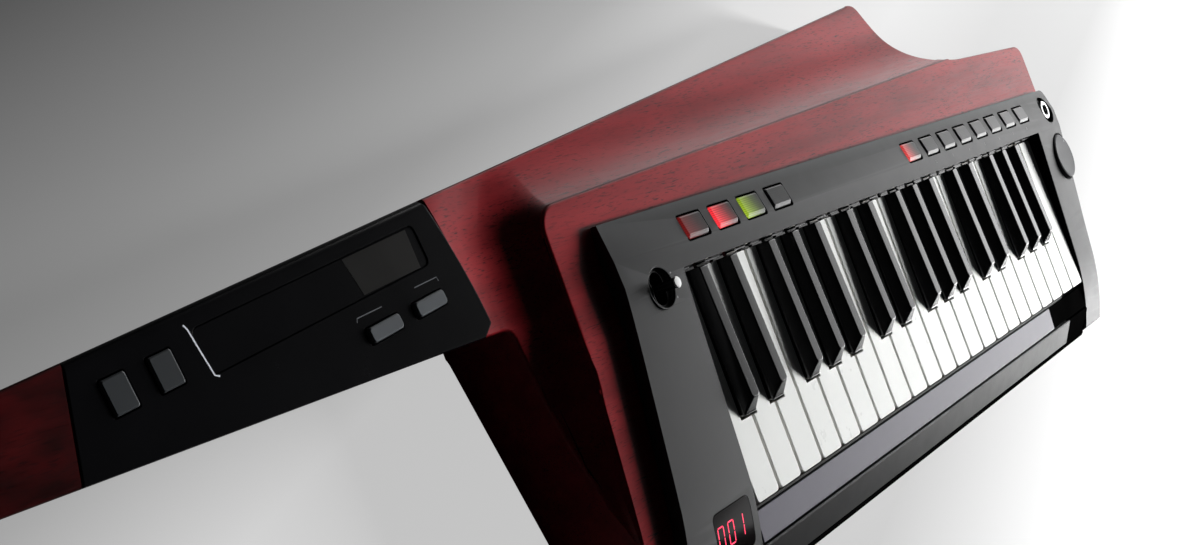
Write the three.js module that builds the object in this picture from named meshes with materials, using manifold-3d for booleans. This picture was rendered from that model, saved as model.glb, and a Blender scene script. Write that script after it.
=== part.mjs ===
// A keytar: a 37-key synthesizer in a carved wooden body, with a neck for the left hand.
//
// Millimetres, +Z up. The instrument lies on its back: +X runs towards the highest note, +Y towards the
// horn, +Z out of the keys. The group's origin is on the resting plane, under the middle of the instrument.
// Inside the group, every place is counted from the keyboard's corner: the front left corner of the lowest
// white key's top.
import * as THREE from "three";
import { mergeVertices } from "three/addons/utils/BufferGeometryUtils.js";
import Module from "manifold-3d";

const wasm = await Module();
wasm.setup();

// Overall size, with the length counted from the lowest key to the head's end
const neckReach = 326.7;
const overallDepth = 249;
const overallHeight = 63;
const fitGap = 0.3;

// Keyboard
const whiteCount = 22;
const whitePitch = 20.8;
const whiteLength = 101.4;
const whiteGap = 1.6;
const whiteThickness = 8;
const whiteEdge = 0.5;
const whiteCornerRadius = 2;
const blackFront = 35.2;
const blackWidth = 11;
const blackTopWidth = 6.2;
const blackHeight = 7.4;
const blackFall = 2.4;
const blackRake = 6.5;
const blackClearance = 1.1;
const blackOffsetShares = { 0: -0.155, 1: 0.09, 3: -0.185, 4: -0.045, 5: 0.105 };
const octaveWhites = 7;
const tailStep = 3;
const tailLength = 25.5;
const tailClearance = 0.9;

// Wooden body, in plan
const bodyFront = 30;
const bodyRightRear = 506;
const bodyRightFront = 490;
const bodyShoulderRear = 165.5;
const bodyLeftFront = 67;
const bodyLeftRear = 96;
const bodyCornerRadius = 10;
const bodyEdge = 2.4;
const neckFront = 105;
const neckRearAtEnd = 133.5;
const hornTip = 289;
const hornReach = 217.85;
const hornRadius = 7;
const cutawayMiddle = 318;
const cutawayMiddleRear = 182;
const cutawayEnd = 412;
const headSlant = 7;

// Wooden body, in height
const bodyThickness = 48;
const neckTop = 8;
const neckUnderside = 36;
const neckEdge = 5;

// Raised field that carries the keyboard panel, and the cove round it
const fieldLeft = 71;
const fieldCornerRadius = 12;
const fieldRearAtLeft = 144.2;
const fieldRearAtRight = 165.5;
const fieldRearSpan = 411;
const coveWidth = 22;
const coveDepth = 10.5;
const coveRise = 2.5;
const coveReach = 48;
const coveRearRun = 500;

// Keyboard panel
const panelRear = 131;
const panelFold = 115;
const panelOpeningRear = 103.7;
const panelTop = 7.5;
const panelFoldTop = 7;
const panelRearTop = 3.4;
const panelFrontLip = 32;
const panelLipBottom = 18;
const panelEndGap = 1.2;
const panelLeftRear = 45;
const panelLeftCorner = 43;
const panelLeftMiddle = 50;
const panelLeftFront = 61;
const panelRightRear = 506;
const panelRightMiddle = 497;
const panelRightFront = 490.5;
const panelWaist = 50;
const panelShoulder = 92;
const panelCorner = 3.5;
const cheekSlopeShare = 0.0625;
const cheekBend = 16.5;
const cheekBendRadius = 139;
const panelStand = 6.5;
const panelSkin = 2.4;
const panelRoof = 2.6;
const panelRoofRear = 125.2;

// Buttons on the panel
const capLength = 17.4;
const capWidth = 10.4;
const capSlit = 0.5;
const capProud = 0.7;
const capBottom = 1.4;
const capEdge = 0.6;
const buttonRow = 119;
const modeCapCount = 4;
const modeCapFirst = 19.5;
const modeCapPitch = 25.8;
const memoryCapCount = 8;
const memoryCapFirst = 258;
const memoryCapPitch = 26.35;
const memoryBarHeight = 1.6;

// Sound lever
const leverPlace = 19.6;
const leverRow = 99;
const leverDishRadius = 8.5;
const leverDishDepth = 2.2;
const leverSlotWidth = 6.4;
const leverSlotLength = 14;
const leverRadius = 2.3;
const leverBallRadius = 2.9;
const leverPivot = 1.5;
const leverFoot = 4;

// Volume dial
const dialPlace = 492;
const dialRow = 82.6;
const dialRadius = 15.3;
const dialGap = 1.3;
const dialTop = 8;
const dialBottom = 6;
const dialEdge = 1.2;
const dialShaftRadius = 3;
const dialShaftEnd = 16;
const dialWellDepth = 7;

// Output socket
const socketPlace = 491.5;
const socketRow = 116.7;
const socketWellRadius = 9.8;
const socketWellFloor = 2;
const socketRadius = 6.4;
const socketBore = 3.3;
const socketTop = 6.2;
const socketEnd = 22;
const socketFlange = 8.6;
const socketFlangeTop = 3.6;

// Display window
const windowLeft = 35.4;
const windowRight = 6.2;
const windowRear = 6.8;
const windowFront = 14;
const windowThickness = 1.4;
const windowRadius = 3;

// Front rail and the long touch strip on it
const railRear = 1.3;
const railCrest = 17.4;
const railCrestDrop = 4.1;
const railRearDrop = 3.4;
const railFoot = 31.7;
const railFootDrop = 18;
const railBottom = 19.6;
const stripRear = 3;
const stripFront = 16.7;
const stripLength = 390;
const stripProud = 0.9;
const stripPocket = 0.7;

// Keybed and underside
const pocketSide = 13;
const pocketRear = 129.6;
const pocketFloor = 21;
const pocketFront = 0.9;
const chassisThickness = 3;
const chassisBeamTop = 1;
const shelf = 22;
const coverThickness = 3;
const coverMargin = 12;
const coverRadius = 5;
const batteryDoorLength = 150;
const batteryDoorWidth = 64;
const batteryDoorSlit = 0.8;
const batteryDoorRadius = 4;
const batteryDoorInset = 60;

// Neck panel and what is on it. Its two rows rise along the neck, and are counted at the head's end.
const neckPanelInset = 49.9;
const neckPanelSlant = 7;
const neckPanelRightRear = 120;
const neckPanelRightFront = 107.4;
const neckPanelThickness = 5;
const neckPanelEdge = 1.4;
const neckTiltShare = 0.132;
const touchRow = 117.6;
const touchInset = 8.1;
const touchWidth = 15.4;
const touchDepth = 1.6;
const touchRadius = 3;
const touchFilm = 0.9;
const octaveBay = 43.7;
const octaveCapGap = 9.1;
const octaveCapPitch = 16.9;
const octaveCapLength = 8.8;
const octaveCapWidth = 11;
const ribbonRow = 97.6;
const ribbonCapFirst = 135;
const ribbonCapPitch = 24.4;
const ribbonCapLength = 16.2;
const ribbonCapWidth = 4.7;
const neckCapProud = 0.8;
const neckCapBottom = 12.2;
const neckWellFloor = 14.2;

// Strap pins
const pinHeadRadius = 7;
const pinNeckRadius = 3.6;
const pinLength = 10;
const pinFlange = 1.6;
const pinHead = 2.4;
const neckPinInset = 21.7;
const neckPinRow = 119;
const endPinRow = 16;
const endPinDrop = 26;

const keybedWidth = whitePitch * whiteCount;
const overallLength = neckReach + dialPlace + dialRadius;
const hornSlopeShare = (hornReach - neckRearAtEnd) / (neckReach + hornTip);
const neckPanelLeftRear = neckReach - neckPanelInset;
const touchLeft = neckPanelLeftRear - octaveBay;
const touchRight = neckPanelRightRear + touchInset;

const finish = (color, roughness, metalness = 0) => ({ color, roughness, metalness });
const finishes = {
  wood: finish(0x7a2a2c, 0.45),
  panel: finish(0x1d1e20, 0.5),
  gloss: finish(0x0b0b0d, 0.12),
  ivory: finish(0xe9ebe8, 0.3),
  ebony: finish(0x111112, 0.2),
  cap: finish(0x4a4b4e, 0.35),
  strip: finish(0x8d8a93, 0.3),
  dark: finish(0x161617, 0.6),
  steel: finish(0xc9cacc, 0.2, 1),
  lens: finish(0x120607, 0.08),
};

const instrument = new THREE.Group();
const keyboardCorner = new THREE.Group();
keyboardCorner.position.set(
  neckReach - overallLength / 2,
  panelFrontLip - overallDepth / 2,
  bodyThickness,
);
instrument.add(keyboardCorner);

// A closed geometry as a solid that can be cut and joined.
function solidOf(geometry) {
  const bare = geometry.index ? geometry.toNonIndexed() : geometry.clone();
  bare.deleteAttribute("normal");
  bare.deleteAttribute("uv");
  const merged = mergeVertices(bare, 1e-4);
  return new wasm.Manifold(
    new wasm.Mesh({
      numProp: 3,
      vertProperties: merged.attributes.position.array,
      triVerts: new Uint32Array(merged.index.array),
    }),
  );
}

function geometryOf(solid) {
  const { vertProperties, triVerts } = solid.getMesh();
  const geometry = new THREE.BufferGeometry();
  geometry.setAttribute("position", new THREE.Float32BufferAttribute(vertProperties, 3));
  geometry.setIndex(new THREE.Uint32BufferAttribute(triVerts, 1));
  geometry.computeVertexNormals();
  return geometry;
}

function put(name, solid, look) {
  const mesh = new THREE.Mesh(geometryOf(solid), new THREE.MeshStandardMaterial(finishes[look]));
  mesh.name = name;
  keyboardCorner.add(mesh);
}

const shapeOf = (points) => new THREE.Shape(points.map(([x, y]) => new THREE.Vector2(x, y)));

// An outline in plan, raised from one height to another, with its edges chamfered by edge.
function raise(shape, low, high, edge = 0, curveSegments = 6) {
  const geometry = new THREE.ExtrudeGeometry(shape, {
    depth: high - low - 2 * edge,
    bevelEnabled: edge > 0,
    bevelThickness: edge,
    bevelSize: edge,
    bevelOffset: -edge,
    bevelSegments: 1,
    curveSegments,
  });
  return solidOf(geometry.translate(0, 0, low + edge));
}

// A profile of [y, z] points, drawn out along X.
function drawAlongX(points, from, to) {
  const geometry = new THREE.ExtrudeGeometry(shapeOf(points), { depth: to - from, bevelEnabled: false });
  const turn = new THREE.Matrix4().set(0, 0, 1, 0, 1, 0, 0, 0, 0, 1, 0, 0, 0, 0, 0, 1);
  return solidOf(geometry.applyMatrix4(turn).translate(from, 0, 0));
}

function block(x0, x1, y0, y1, z0, z1) {
  const geometry = new THREE.BoxGeometry(x1 - x0, y1 - y0, z1 - z0);
  return solidOf(geometry.translate((x0 + x1) / 2, (y0 + y1) / 2, (z0 + z1) / 2));
}

// A profile of [radius, z] points turned round a vertical axis.
function turn(points, x, y, sides = 24) {
  const profile = points.map(([r, z]) => new THREE.Vector2(r, z));
  const geometry = new THREE.LatheGeometry(profile, sides).rotateX(Math.PI / 2);
  return solidOf(geometry.translate(x, y, 0));
}

const cylinder = (x, y, radius, low, high, sides = 24) =>
  turn([[0, low], [radius, low], [radius, high], [0, high]], x, y, sides);

function roundedRectangle(x0, x1, y0, y1, radius) {
  const shape = new THREE.Shape();
  shape.moveTo(x0 + radius, y0);
  shape.lineTo(x1 - radius, y0);
  shape.absarc(x1 - radius, y0 + radius, radius, -Math.PI / 2, 0);
  shape.lineTo(x1, y1 - radius);
  shape.absarc(x1 - radius, y1 - radius, radius, 0, Math.PI / 2);
  shape.lineTo(x0 + radius, y1);
  shape.absarc(x0 + radius, y1 - radius, radius, Math.PI / 2, Math.PI);
  shape.lineTo(x0, y0 + radius);
  shape.absarc(x0 + radius, y0 + radius, radius, Math.PI, Math.PI * 1.5);
  return shape;
}

// The height of the keyboard panel's cheeks: a gentle slope that bends down towards the player.
function cheekHeight(y) {
  const slope = panelTop - cheekSlopeShare * (panelOpeningRear - y);
  const past = Math.max(0, cheekBend - y);
  return slope - (past * past) / (2 * cheekBendRadius);
}

const fieldHeight = (y) => Math.min(0, cheekHeight(y) - panelStand);

const steps = (from, to, count) =>
  Array.from({ length: count + 1 }, (_, i) => from + ((to - from) * i) / count);

// The cheeks' curve as [y, z] points, from one place to another.
const cheekCurve = (from, to, count, drop) =>
  steps(from, to, count).map((y) => [y, cheekHeight(y) - drop]);

// The straight rear edge of the neck and the body, up to the horn.
const neckRear = (x) => neckRearAtEnd + hornSlopeShare * (x + neckReach);

// Outline of the body with the horn, from the front left corner anticlockwise.
function bodyOutline() {
  const r = bodyCornerRadius;
  const shape = new THREE.Shape();
  shape.moveTo(-bodyLeftFront + r, -bodyFront);
  shape.lineTo(bodyRightFront - r, -bodyFront);
  shape.quadraticCurveTo(bodyRightFront, -bodyFront, bodyRightFront, -bodyFront + r);
  shape.lineTo(bodyRightRear, panelOpeningRear);
  shape.lineTo(bodyRightRear, bodyShoulderRear - r);
  shape.quadraticCurveTo(bodyRightRear, bodyShoulderRear, bodyRightRear - r, bodyShoulderRear);
  shape.lineTo(cutawayEnd, bodyShoulderRear);
  shape.quadraticCurveTo(
    (cutawayEnd + cutawayMiddle) / 2 - r,
    bodyShoulderRear,
    cutawayMiddle,
    cutawayMiddleRear,
  );
  shape.lineTo(hornTip + hornRadius, hornReach - hornRadius);
  shape.quadraticCurveTo(hornTip, hornReach, hornTip - hornRadius, neckRear(hornTip - hornRadius));
  shape.lineTo(-bodyLeftRear, neckRear(-bodyLeftRear));
  shape.lineTo(-bodyLeftRear, neckFront);
  shape.lineTo(-bodyLeftFront, -bodyFront + r);
  shape.quadraticCurveTo(-bodyLeftFront, -bodyFront, -bodyLeftFront + r, -bodyFront);
  return shape;
}

// The bare neck, from the slanted end of the head to where it runs into the body.
function neckOutline() {
  const rearLeft = headSlant - neckReach;
  return shapeOf([
    [-neckReach, neckFront],
    [-bodyLeftRear + bodyCornerRadius, neckFront],
    [-bodyLeftRear + bodyCornerRadius, neckRear(-bodyLeftRear)],
    [-bodyLeftRear, neckRear(-bodyLeftRear)],
    [rearLeft, neckRear(rearLeft)],
  ]);
}

// The cove's section as [outward, height] points: an arc down from the field, then a slight rise.
function coveSection() {
  const arc = steps(0, Math.PI / 2, 6).map((a) => [
    coveWidth * (1 - Math.cos(a)),
    -coveDepth * Math.sin(a),
  ]);
  return [
    [0, coveDepth],
    ...arc,
    [coveReach, coveRise - coveDepth],
    [coveReach * 2, coveRise - coveDepth],
    [coveReach * 2, coveDepth],
  ];
}

// What the cove takes away along a straight edge of the field: from a point, in a direction, for a length.
function straightCove(from, direction, length) {
  const section = shapeOf(coveSection());
  const geometry = new THREE.ExtrudeGeometry(section, { depth: length, bevelEnabled: false });
  const along = new THREE.Vector3(direction.x, direction.y, 0).normalize();
  const outward = new THREE.Vector3(-along.y, along.x, 0);
  const frame = new THREE.Matrix4().makeBasis(outward, new THREE.Vector3(0, 0, 1), along);
  return solidOf(geometry.applyMatrix4(frame).translate(from.x, from.y, 0));
}

function coves() {
  const rearSlope = (fieldRearAtRight - fieldRearAtLeft) / fieldRearSpan;
  const along = new THREE.Vector2(1, rearSlope).normalize();
  const outward = new THREE.Vector2(-along.y, along.x);
  const r = fieldCornerRadius;
  const centre = new THREE.Vector2(-fieldLeft + r, 0);
  centre.y = fieldRearAtLeft + rearSlope * r - r / along.x;
  const rearStart = centre.clone().addScaledVector(outward, r);
  const leftStart = new THREE.Vector2(-fieldLeft, centre.y - overallDepth);
  const left = straightCove(leftStart, new THREE.Vector2(0, 1), overallDepth + fitGap);
  const rear = straightCove(rearStart.addScaledVector(along, -fitGap), along, coveRearRun);
  const section = coveSection().map(([out, height]) => [out + r, height]);
  const ring = turn([...section, section[0]], centre.x, centre.y, 72);
  const far = overallDepth;
  const sector = raise(
    shapeOf([
      [centre.x, centre.y],
      [centre.x + outward.x * far, centre.y + outward.y * far],
      [centre.x - far, centre.y + far],
      [centre.x - far, centre.y],
    ]),
    -bodyThickness,
    bodyThickness,
  );
  return left.add(rear).add(ring.intersect(sector));
}

// The wood that the field's curved front takes away.
function frontCurveCut() {
  const curve = steps(-bodyFront - coveDepth, panelFold, 16).map((y) => [y, fieldHeight(y)]);
  const above = [[panelFold, bodyThickness], [-bodyFront - coveDepth, bodyThickness]];
  return drawAlongX([...curve, ...above], -overallLength, overallLength);
}

function woodBody() {
  const inLeft = -pocketSide;
  const inRight = keybedWidth + pocketSide;
  const under = -bodyThickness - fitGap;
  const front = -bodyFront * 2;
  const keysEnd = keybedWidth + panelEndGap;
  const neck = raise(neckOutline(), -neckUnderside, -neckTop, neckEdge);
  const blank = raise(bodyOutline(), -bodyThickness, 0, bodyEdge, 10).add(neck);
  const panelSeat = raise(neckPanelOutline(fitGap), -neckTop - neckPanelThickness - fitGap, 0);
  const coverSeat = raise(
    roundedRectangle(
      inLeft + coverMargin - fitGap,
      inRight - coverMargin + fitGap,
      -fitGap,
      pocketRear - coverMargin + fitGap,
      coverRadius,
    ),
    under,
    -bodyThickness + coverThickness + fitGap,
  );
  return blank
    .subtract(coves())
    .subtract(frontCurveCut())
    .subtract(block(inLeft, inRight, -pocketFront, pocketRear, -pocketFloor, bodyThickness))
    .subtract(block(inLeft + shelf, inRight - shelf, shelf, pocketRear - shelf, -bodyThickness, 0))
    .subtract(coverSeat)
    .subtract(block(-panelEndGap, keysEnd, front, 0, -railBottom - fitGap, bodyThickness))
    .subtract(panelSeat)
    .subtract(neckWells())
    .subtract(cylinder(dialPlace, dialRow, dialRadius + dialGap, -dialWellDepth, bodyThickness, 36))
    .subtract(cylinder(dialPlace, dialRow, dialShaftRadius + fitGap, -dialShaftEnd - fitGap, 0))
    .subtract(cylinder(socketPlace, socketRow, socketRadius + fitGap, -socketEnd - fitGap, bodyThickness))
    .subtract(cylinder(-leverPlace, leverRow, leverSlotLength / 2, -leverFoot - leverPivot, bodyThickness));
}

// A piece made round the origin, turned with the rows on the neck and moved to its place in one of them.
function onNeck(solid, at, row) {
  const tilt = THREE.MathUtils.radToDeg(Math.atan(neckTiltShare));
  return solid.rotate([0, 0, tilt]).translate([-at, row + neckTiltShare * (neckReach - at), 0]);
}

const octaveUpPlace = touchLeft + octaveCapGap + octaveCapLength / 2;
const octaveCap = { row: touchRow, length: octaveCapLength, width: octaveCapWidth };
const ribbonCap = { row: ribbonRow, length: ribbonCapLength, width: ribbonCapWidth };
const neckCaps = [
  { ...octaveCap, name: "octave_down_button", at: octaveUpPlace + octaveCapPitch },
  { ...octaveCap, name: "octave_up_button", at: octaveUpPlace },
  { ...ribbonCap, name: "ribbon_pitch_button", at: ribbonCapFirst + ribbonCapPitch },
  { ...ribbonCap, name: "ribbon_filter_button", at: ribbonCapFirst },
];

const centred = (length, width) => [-length / 2, length / 2, -width / 2, width / 2];

// The holes that the neck's buttons stand in, through its panel and a little way into the wood.
function neckWells() {
  const wells = neckCaps.map(({ at, row, length, width }) => {
    const outline = roundedRectangle(...centred(length + 2 * capSlit, width + 2 * capSlit), capEdge * 2);
    return onNeck(raise(outline, -neckWellFloor, 0, 0, 3), at, row);
  });
  return wells.reduce((all, well) => all.add(well));
}

// The neck panel's outline, or that of its seat, which is wider by grow.
function neckPanelOutline(grow) {
  const front = neckFront - grow;
  const right = -neckPanelRightFront + grow;
  const rearRight = -neckPanelRightRear + grow;
  const rearLeft = -neckPanelLeftRear - grow;
  const bend = (front + neckRear(rearRight)) / 2;
  const shape = new THREE.Shape();
  shape.moveTo(rearLeft - neckPanelSlant, front);
  shape.lineTo(right - neckPanelEdge * 4, front);
  shape.lineTo(right, front + neckPanelEdge * 3);
  shape.quadraticCurveTo(right - neckPanelEdge * 2, bend, rearRight, neckRear(rearRight) + grow);
  shape.lineTo(rearLeft, neckRear(rearLeft) + grow);
  return shape;
}

// The touch strip's outline, or that of its pocket, narrower all round by shrink, between two heights.
function touchPiece(shrink, low, high) {
  const length = touchLeft - touchRight - 2 * shrink;
  const outline = roundedRectangle(...centred(length, touchWidth - 2 * shrink), touchRadius - shrink);
  return onNeck(raise(outline, low, high), (touchLeft + touchRight) / 2, touchRow);
}

const neckPanel = () =>
  raise(neckPanelOutline(0), -neckTop - neckPanelThickness, -neckTop, neckPanelEdge)
    .subtract(touchPiece(0, -neckTop - touchDepth, 0))
    .subtract(neckWells());

function shortTouchStrip() {
  const low = -neckTop - touchDepth + fitGap;
  return touchPiece(fitGap, low, low + touchFilm);
}

function neckCap({ at, row, length, width }) {
  const outline = roundedRectangle(...centred(length, width), capEdge * 2);
  return onNeck(raise(outline, -neckCapBottom, -neckTop + neckCapProud, capEdge, 3), at, row);
}

// The keyboard panel: a bridge over the keys' tails with a cheek at each end.
function topPanel() {
  const woodLine = steps(-bodyFront, panelOpeningRear, 10).map((y) => [y, fieldHeight(y) + fitGap]);
  const profile = [
    ...woodLine,
    [panelRear, fitGap],
    [panelRear, panelRearTop],
    [panelFold, panelFoldTop],
    ...cheekCurve(panelOpeningRear, -bodyFront, 14, 0),
    [-panelFrontLip, cheekHeight(-panelFrontLip) - panelSkin],
    [-panelFrontLip, -panelLipBottom],
    [-bodyFront - fitGap, -panelLipBottom],
    [-bodyFront - fitGap, fieldHeight(-bodyFront) + fitGap],
  ];
  const outline = new THREE.Shape();
  outline.moveTo(-panelLeftFront, -panelFrontLip);
  outline.lineTo(panelRightFront, -panelFrontLip);
  outline.quadraticCurveTo(panelRightFront, cheekBend, panelRightMiddle, panelWaist);
  outline.lineTo(panelRightRear, panelOpeningRear);
  outline.lineTo(panelRightRear, panelRear - panelCorner);
  outline.lineTo(panelRightRear - panelCorner, panelRear);
  outline.lineTo(-panelLeftCorner, panelRear);
  outline.lineTo(-panelLeftRear, panelFold);
  outline.lineTo(-panelLeftRear, panelOpeningRear);
  outline.quadraticCurveTo(-panelLeftRear, panelShoulder, -panelLeftMiddle, panelWaist);
  outline.quadraticCurveTo(-panelLeftMiddle - panelCorner, cheekBend, -panelLeftFront, -panelFrontLip);
  const high = bodyThickness;
  const keysEnd = keybedWidth + panelEndGap;
  const tails = block(
    -panelEndGap,
    keysEnd,
    panelOpeningRear - panelEndGap,
    panelRoofRear,
    -high,
    panelRoof,
  );
  const keyOpening = block(-panelEndGap, keysEnd, -high * 2, panelOpeningRear, -high, high);
  return drawAlongX(profile, -overallLength, overallLength)
    .intersect(raise(outline, -high, high, 0, 8))
    .subtract(keyOpening)
    .subtract(tails)
    .subtract(panelHoles());
}

const modeCapPlace = (i) => modeCapFirst + i * modeCapPitch;
const memoryCapPlace = (i) => memoryCapFirst + i * memoryCapPitch;

function panelHoles() {
  const high = bodyThickness;
  const capPlaces = [
    ...Array.from({ length: modeCapCount }, (_, i) => modeCapPlace(i)),
    ...Array.from({ length: memoryCapCount }, (_, i) => memoryCapPlace(i)),
  ];
  const capHole = raise(
    roundedRectangle(...centred(capLength + 2 * capSlit, capWidth + 2 * capSlit), capEdge * 2),
    0,
    high,
    0,
    3,
  );
  const capHoles = capPlaces.map((x) => capHole.translate([x, buttonRow, 0]));
  const socketWell = cylinder(socketPlace, socketRow, socketWellRadius, socketWellFloor, high, 28);
  const socketHole = cylinder(socketPlace, socketRow, socketRadius + fitGap, 0, high);
  const dishFloor = cheekHeight(leverRow) - leverDishDepth;
  const dish = cylinder(-leverPlace, leverRow, leverDishRadius, dishFloor, high, 28);
  const slot = block(
    -leverPlace - leverSlotWidth / 2,
    -leverPlace + leverSlotWidth / 2,
    leverRow - leverSlotLength / 2,
    leverRow + leverSlotLength / 2,
    -high,
    high,
  );
  const dialHole = cylinder(dialPlace, dialRow, dialRadius + dialGap, -high, high, 36);
  const holes = [...capHoles, socketWell, socketHole, dish, slot, dialHole, windowSeat()];
  return holes.reduce((all, hole) => all.add(hole));
}

// A strip that follows the left cheek's curve: its top stands above the cheek by proud.
function cheekStrip(left, right, front, rear, radius, proud, thickness) {
  const top = cheekCurve(front, rear, 8, -proud);
  const low = cheekCurve(rear, front, 8, thickness - proud);
  const outline = roundedRectangle(left, right, front, rear, radius);
  const column = raise(outline, -bodyThickness, bodyThickness, 0, 4);
  return drawAlongX([...low, ...top], left, right).intersect(column);
}

const windowSeat = () =>
  cheekStrip(
    -windowLeft - fitGap,
    -windowRight + fitGap,
    -windowFront - fitGap,
    windowRear + fitGap,
    windowRadius + fitGap,
    panelTop,
    panelTop + windowThickness + fitGap,
  );

const displayWindow = () =>
  cheekStrip(-windowLeft, -windowRight, -windowFront, windowRear, windowRadius, 0, windowThickness);

function frontRail() {
  const profile = [
    [-railRear, -railBottom],
    [-railRear, -railRearDrop],
    [-stripRear + fitGap, -railRearDrop],
    [-stripRear + fitGap, -railRearDrop - stripPocket],
    [-stripFront - fitGap, -railCrestDrop - stripPocket],
    [-stripFront - fitGap, -railCrestDrop - fitGap],
    [-railCrest, -railCrestDrop - fitGap],
    [-railFoot, -railFootDrop],
    [-railFoot, -railBottom],
  ].reverse();
  return drawAlongX(profile, -panelEndGap + fitGap, keybedWidth + panelEndGap - fitGap);
}

function longTouchStrip() {
  const profile = [
    [-stripRear, -railRearDrop - stripPocket + fitGap],
    [-stripRear, -railRearDrop + stripProud],
    [-stripFront, -railCrestDrop + stripProud - fitGap],
    [-stripFront, -railCrestDrop - stripPocket + fitGap],
  ].reverse();
  return drawAlongX(profile, 0, stripLength);
}

// A solid whose height falls towards the rear, by fall for each millimetre.
const slant = (solid, fall) => solid.transform([1, 0, 0, 0, 0, 1, -fall, 0, 0, 0, 1, 0, 0, 0, 0, 1]);

// A cap that fills its hole in the sloping rear face of the panel, with its top parallel to that face.
function panelCap(x) {
  const outline = roundedRectangle(...centred(capLength, capWidth), capEdge * 2);
  const fall = (panelFoldTop - panelRearTop) / (panelRear - panelFold);
  const top = panelFoldTop - fall * (buttonRow - panelFold);
  return slant(raise(outline, capBottom, top + capProud, capEdge, 3), fall).translate([x, buttonRow, 0]);
}

// The eight memory buttons are moulded as one strip, joined by a bar under the panel.
function memoryButtons() {
  const last = memoryCapPlace(memoryCapCount - 1) + capLength / 2;
  const bar = block(
    memoryCapFirst - capLength / 2 + capEdge * 2,
    last - capEdge * 2,
    buttonRow - capWidth / 2 + capEdge * 2,
    buttonRow + capWidth / 2 - capEdge * 2,
    capBottom - memoryBarHeight,
    capBottom + fitGap * 2,
  );
  const caps = Array.from({ length: memoryCapCount }, (_, i) => panelCap(memoryCapPlace(i)));
  return caps.reduce((all, cap) => all.add(cap), bar);
}

function soundLever() {
  const tip = overallHeight - bodyThickness;
  const stick = turn(
    [
      [0, -leverFoot],
      [leverRadius * 0.8, -leverFoot],
      [leverRadius * 0.8, leverPivot],
      [leverBallRadius, leverPivot + leverRadius],
      [leverRadius, leverPivot + leverRadius * 2],
      [leverRadius, tip - leverRadius * 0.3],
      [leverRadius * 0.8, tip],
      [0, tip],
    ],
    0,
    0,
    16,
  );
  return stick.translate([-leverPlace, leverRow, 0]);
}

const volumeDial = () =>
  turn(
    [
      [0, -dialShaftEnd],
      [dialShaftRadius, -dialShaftEnd],
      [dialShaftRadius, -dialBottom],
      [dialRadius, -dialBottom],
      [dialRadius, dialTop - dialEdge],
      [dialRadius - dialEdge, dialTop],
      [0, dialTop],
    ],
    dialPlace,
    dialRow,
    40,
  );

const outputSocket = () =>
  turn(
    [
      [socketBore, -socketEnd],
      [socketRadius, -socketEnd],
      [socketRadius, socketWellFloor + fitGap],
      [socketFlange, socketWellFloor + fitGap],
      [socketFlange, socketFlangeTop],
      [socketRadius, socketFlangeTop],
      [socketRadius, socketTop],
      [socketBore, socketTop],
      [socketBore, -socketEnd],
    ],
    socketPlace,
    socketRow,
    24,
  );

// Black keys by the white key on their left, with the middle of each.
const blackKeys = Array.from({ length: whiteCount - 1 }, (_, i) => ({
  left: i,
  share: blackOffsetShares[i % octaveWhites],
}))
  .filter(({ share }) => share !== undefined)
  .map(({ left, share }) => ({ left, middle: (left + 1 + share) * whitePitch }));

const sharpAfter = (i) => blackKeys.find(({ left }) => left === i);

function whiteKey(i) {
  const low = i * whitePitch + whiteGap / 2;
  const high = (i + 1) * whitePitch - whiteGap / 2;
  const before = sharpAfter(i - 1);
  const after = sharpAfter(i);
  const notch = blackFront - blackClearance;
  const reach = blackWidth / 2 + blackClearance;
  const narrowLow = before ? before.middle + reach : low;
  const narrowHigh = after ? after.middle - reach : high;
  const r = whiteCornerRadius;
  const shape = new THREE.Shape();
  shape.moveTo(low + r, 0);
  shape.lineTo(high - r, 0);
  shape.quadraticCurveTo(high, 0, high, r);
  if (after) shape.lineTo(high, notch);
  if (after) shape.lineTo(narrowHigh, notch);
  shape.lineTo(narrowHigh, whiteLength);
  shape.lineTo(narrowLow, whiteLength);
  if (before) shape.lineTo(narrowLow, notch);
  if (before) shape.lineTo(low, notch);
  shape.lineTo(low, r);
  shape.quadraticCurveTo(low, 0, low + r, 0);
  return raise(shape, -whiteThickness, 0, whiteEdge, 3).add(keyTail(narrowLow, narrowHigh));
}

// The low tail that carries a key back to its pivot behind the panel's edge.
const keyTail = (low, high) =>
  block(
    low + tailClearance,
    high - tailClearance,
    whiteLength - tailStep * 2,
    whiteLength + tailLength,
    whiteEdge - whiteThickness,
    -tailStep,
  );

// A black key tapers in width to its top, is raked back at the front and falls a little towards the rear.
function blackKey(middle) {
  const base = blackWidth / 2;
  const length = whiteLength - blackFront;
  const side = drawAlongX(
    [
      [length, -whiteThickness],
      [length, blackHeight],
      [blackRake + whiteEdge, blackHeight],
      [blackRake - whiteEdge * 2, blackHeight - whiteEdge * 2],
      [0, 0],
      [0, -whiteThickness],
    ].reverse(),
    -base,
    base,
  );
  const top = blackTopWidth / 2;
  const section = shapeOf([
    [-base, -whiteThickness],
    [base, -whiteThickness],
    [base, 0],
    [top + whiteEdge, blackHeight - whiteEdge],
    [top, blackHeight],
    [-top, blackHeight],
    [-top - whiteEdge, blackHeight - whiteEdge],
    [-base, 0],
  ]);
  const prism = new THREE.ExtrudeGeometry(section, { depth: overallDepth, bevelEnabled: false })
    .rotateX(Math.PI / 2)
    .translate(0, overallDepth, 0);
  const bar = slant(side.intersect(solidOf(prism)), blackFall / length);
  return bar.translate([middle, blackFront, 0]).add(keyTail(middle - base, middle + base));
}

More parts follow.
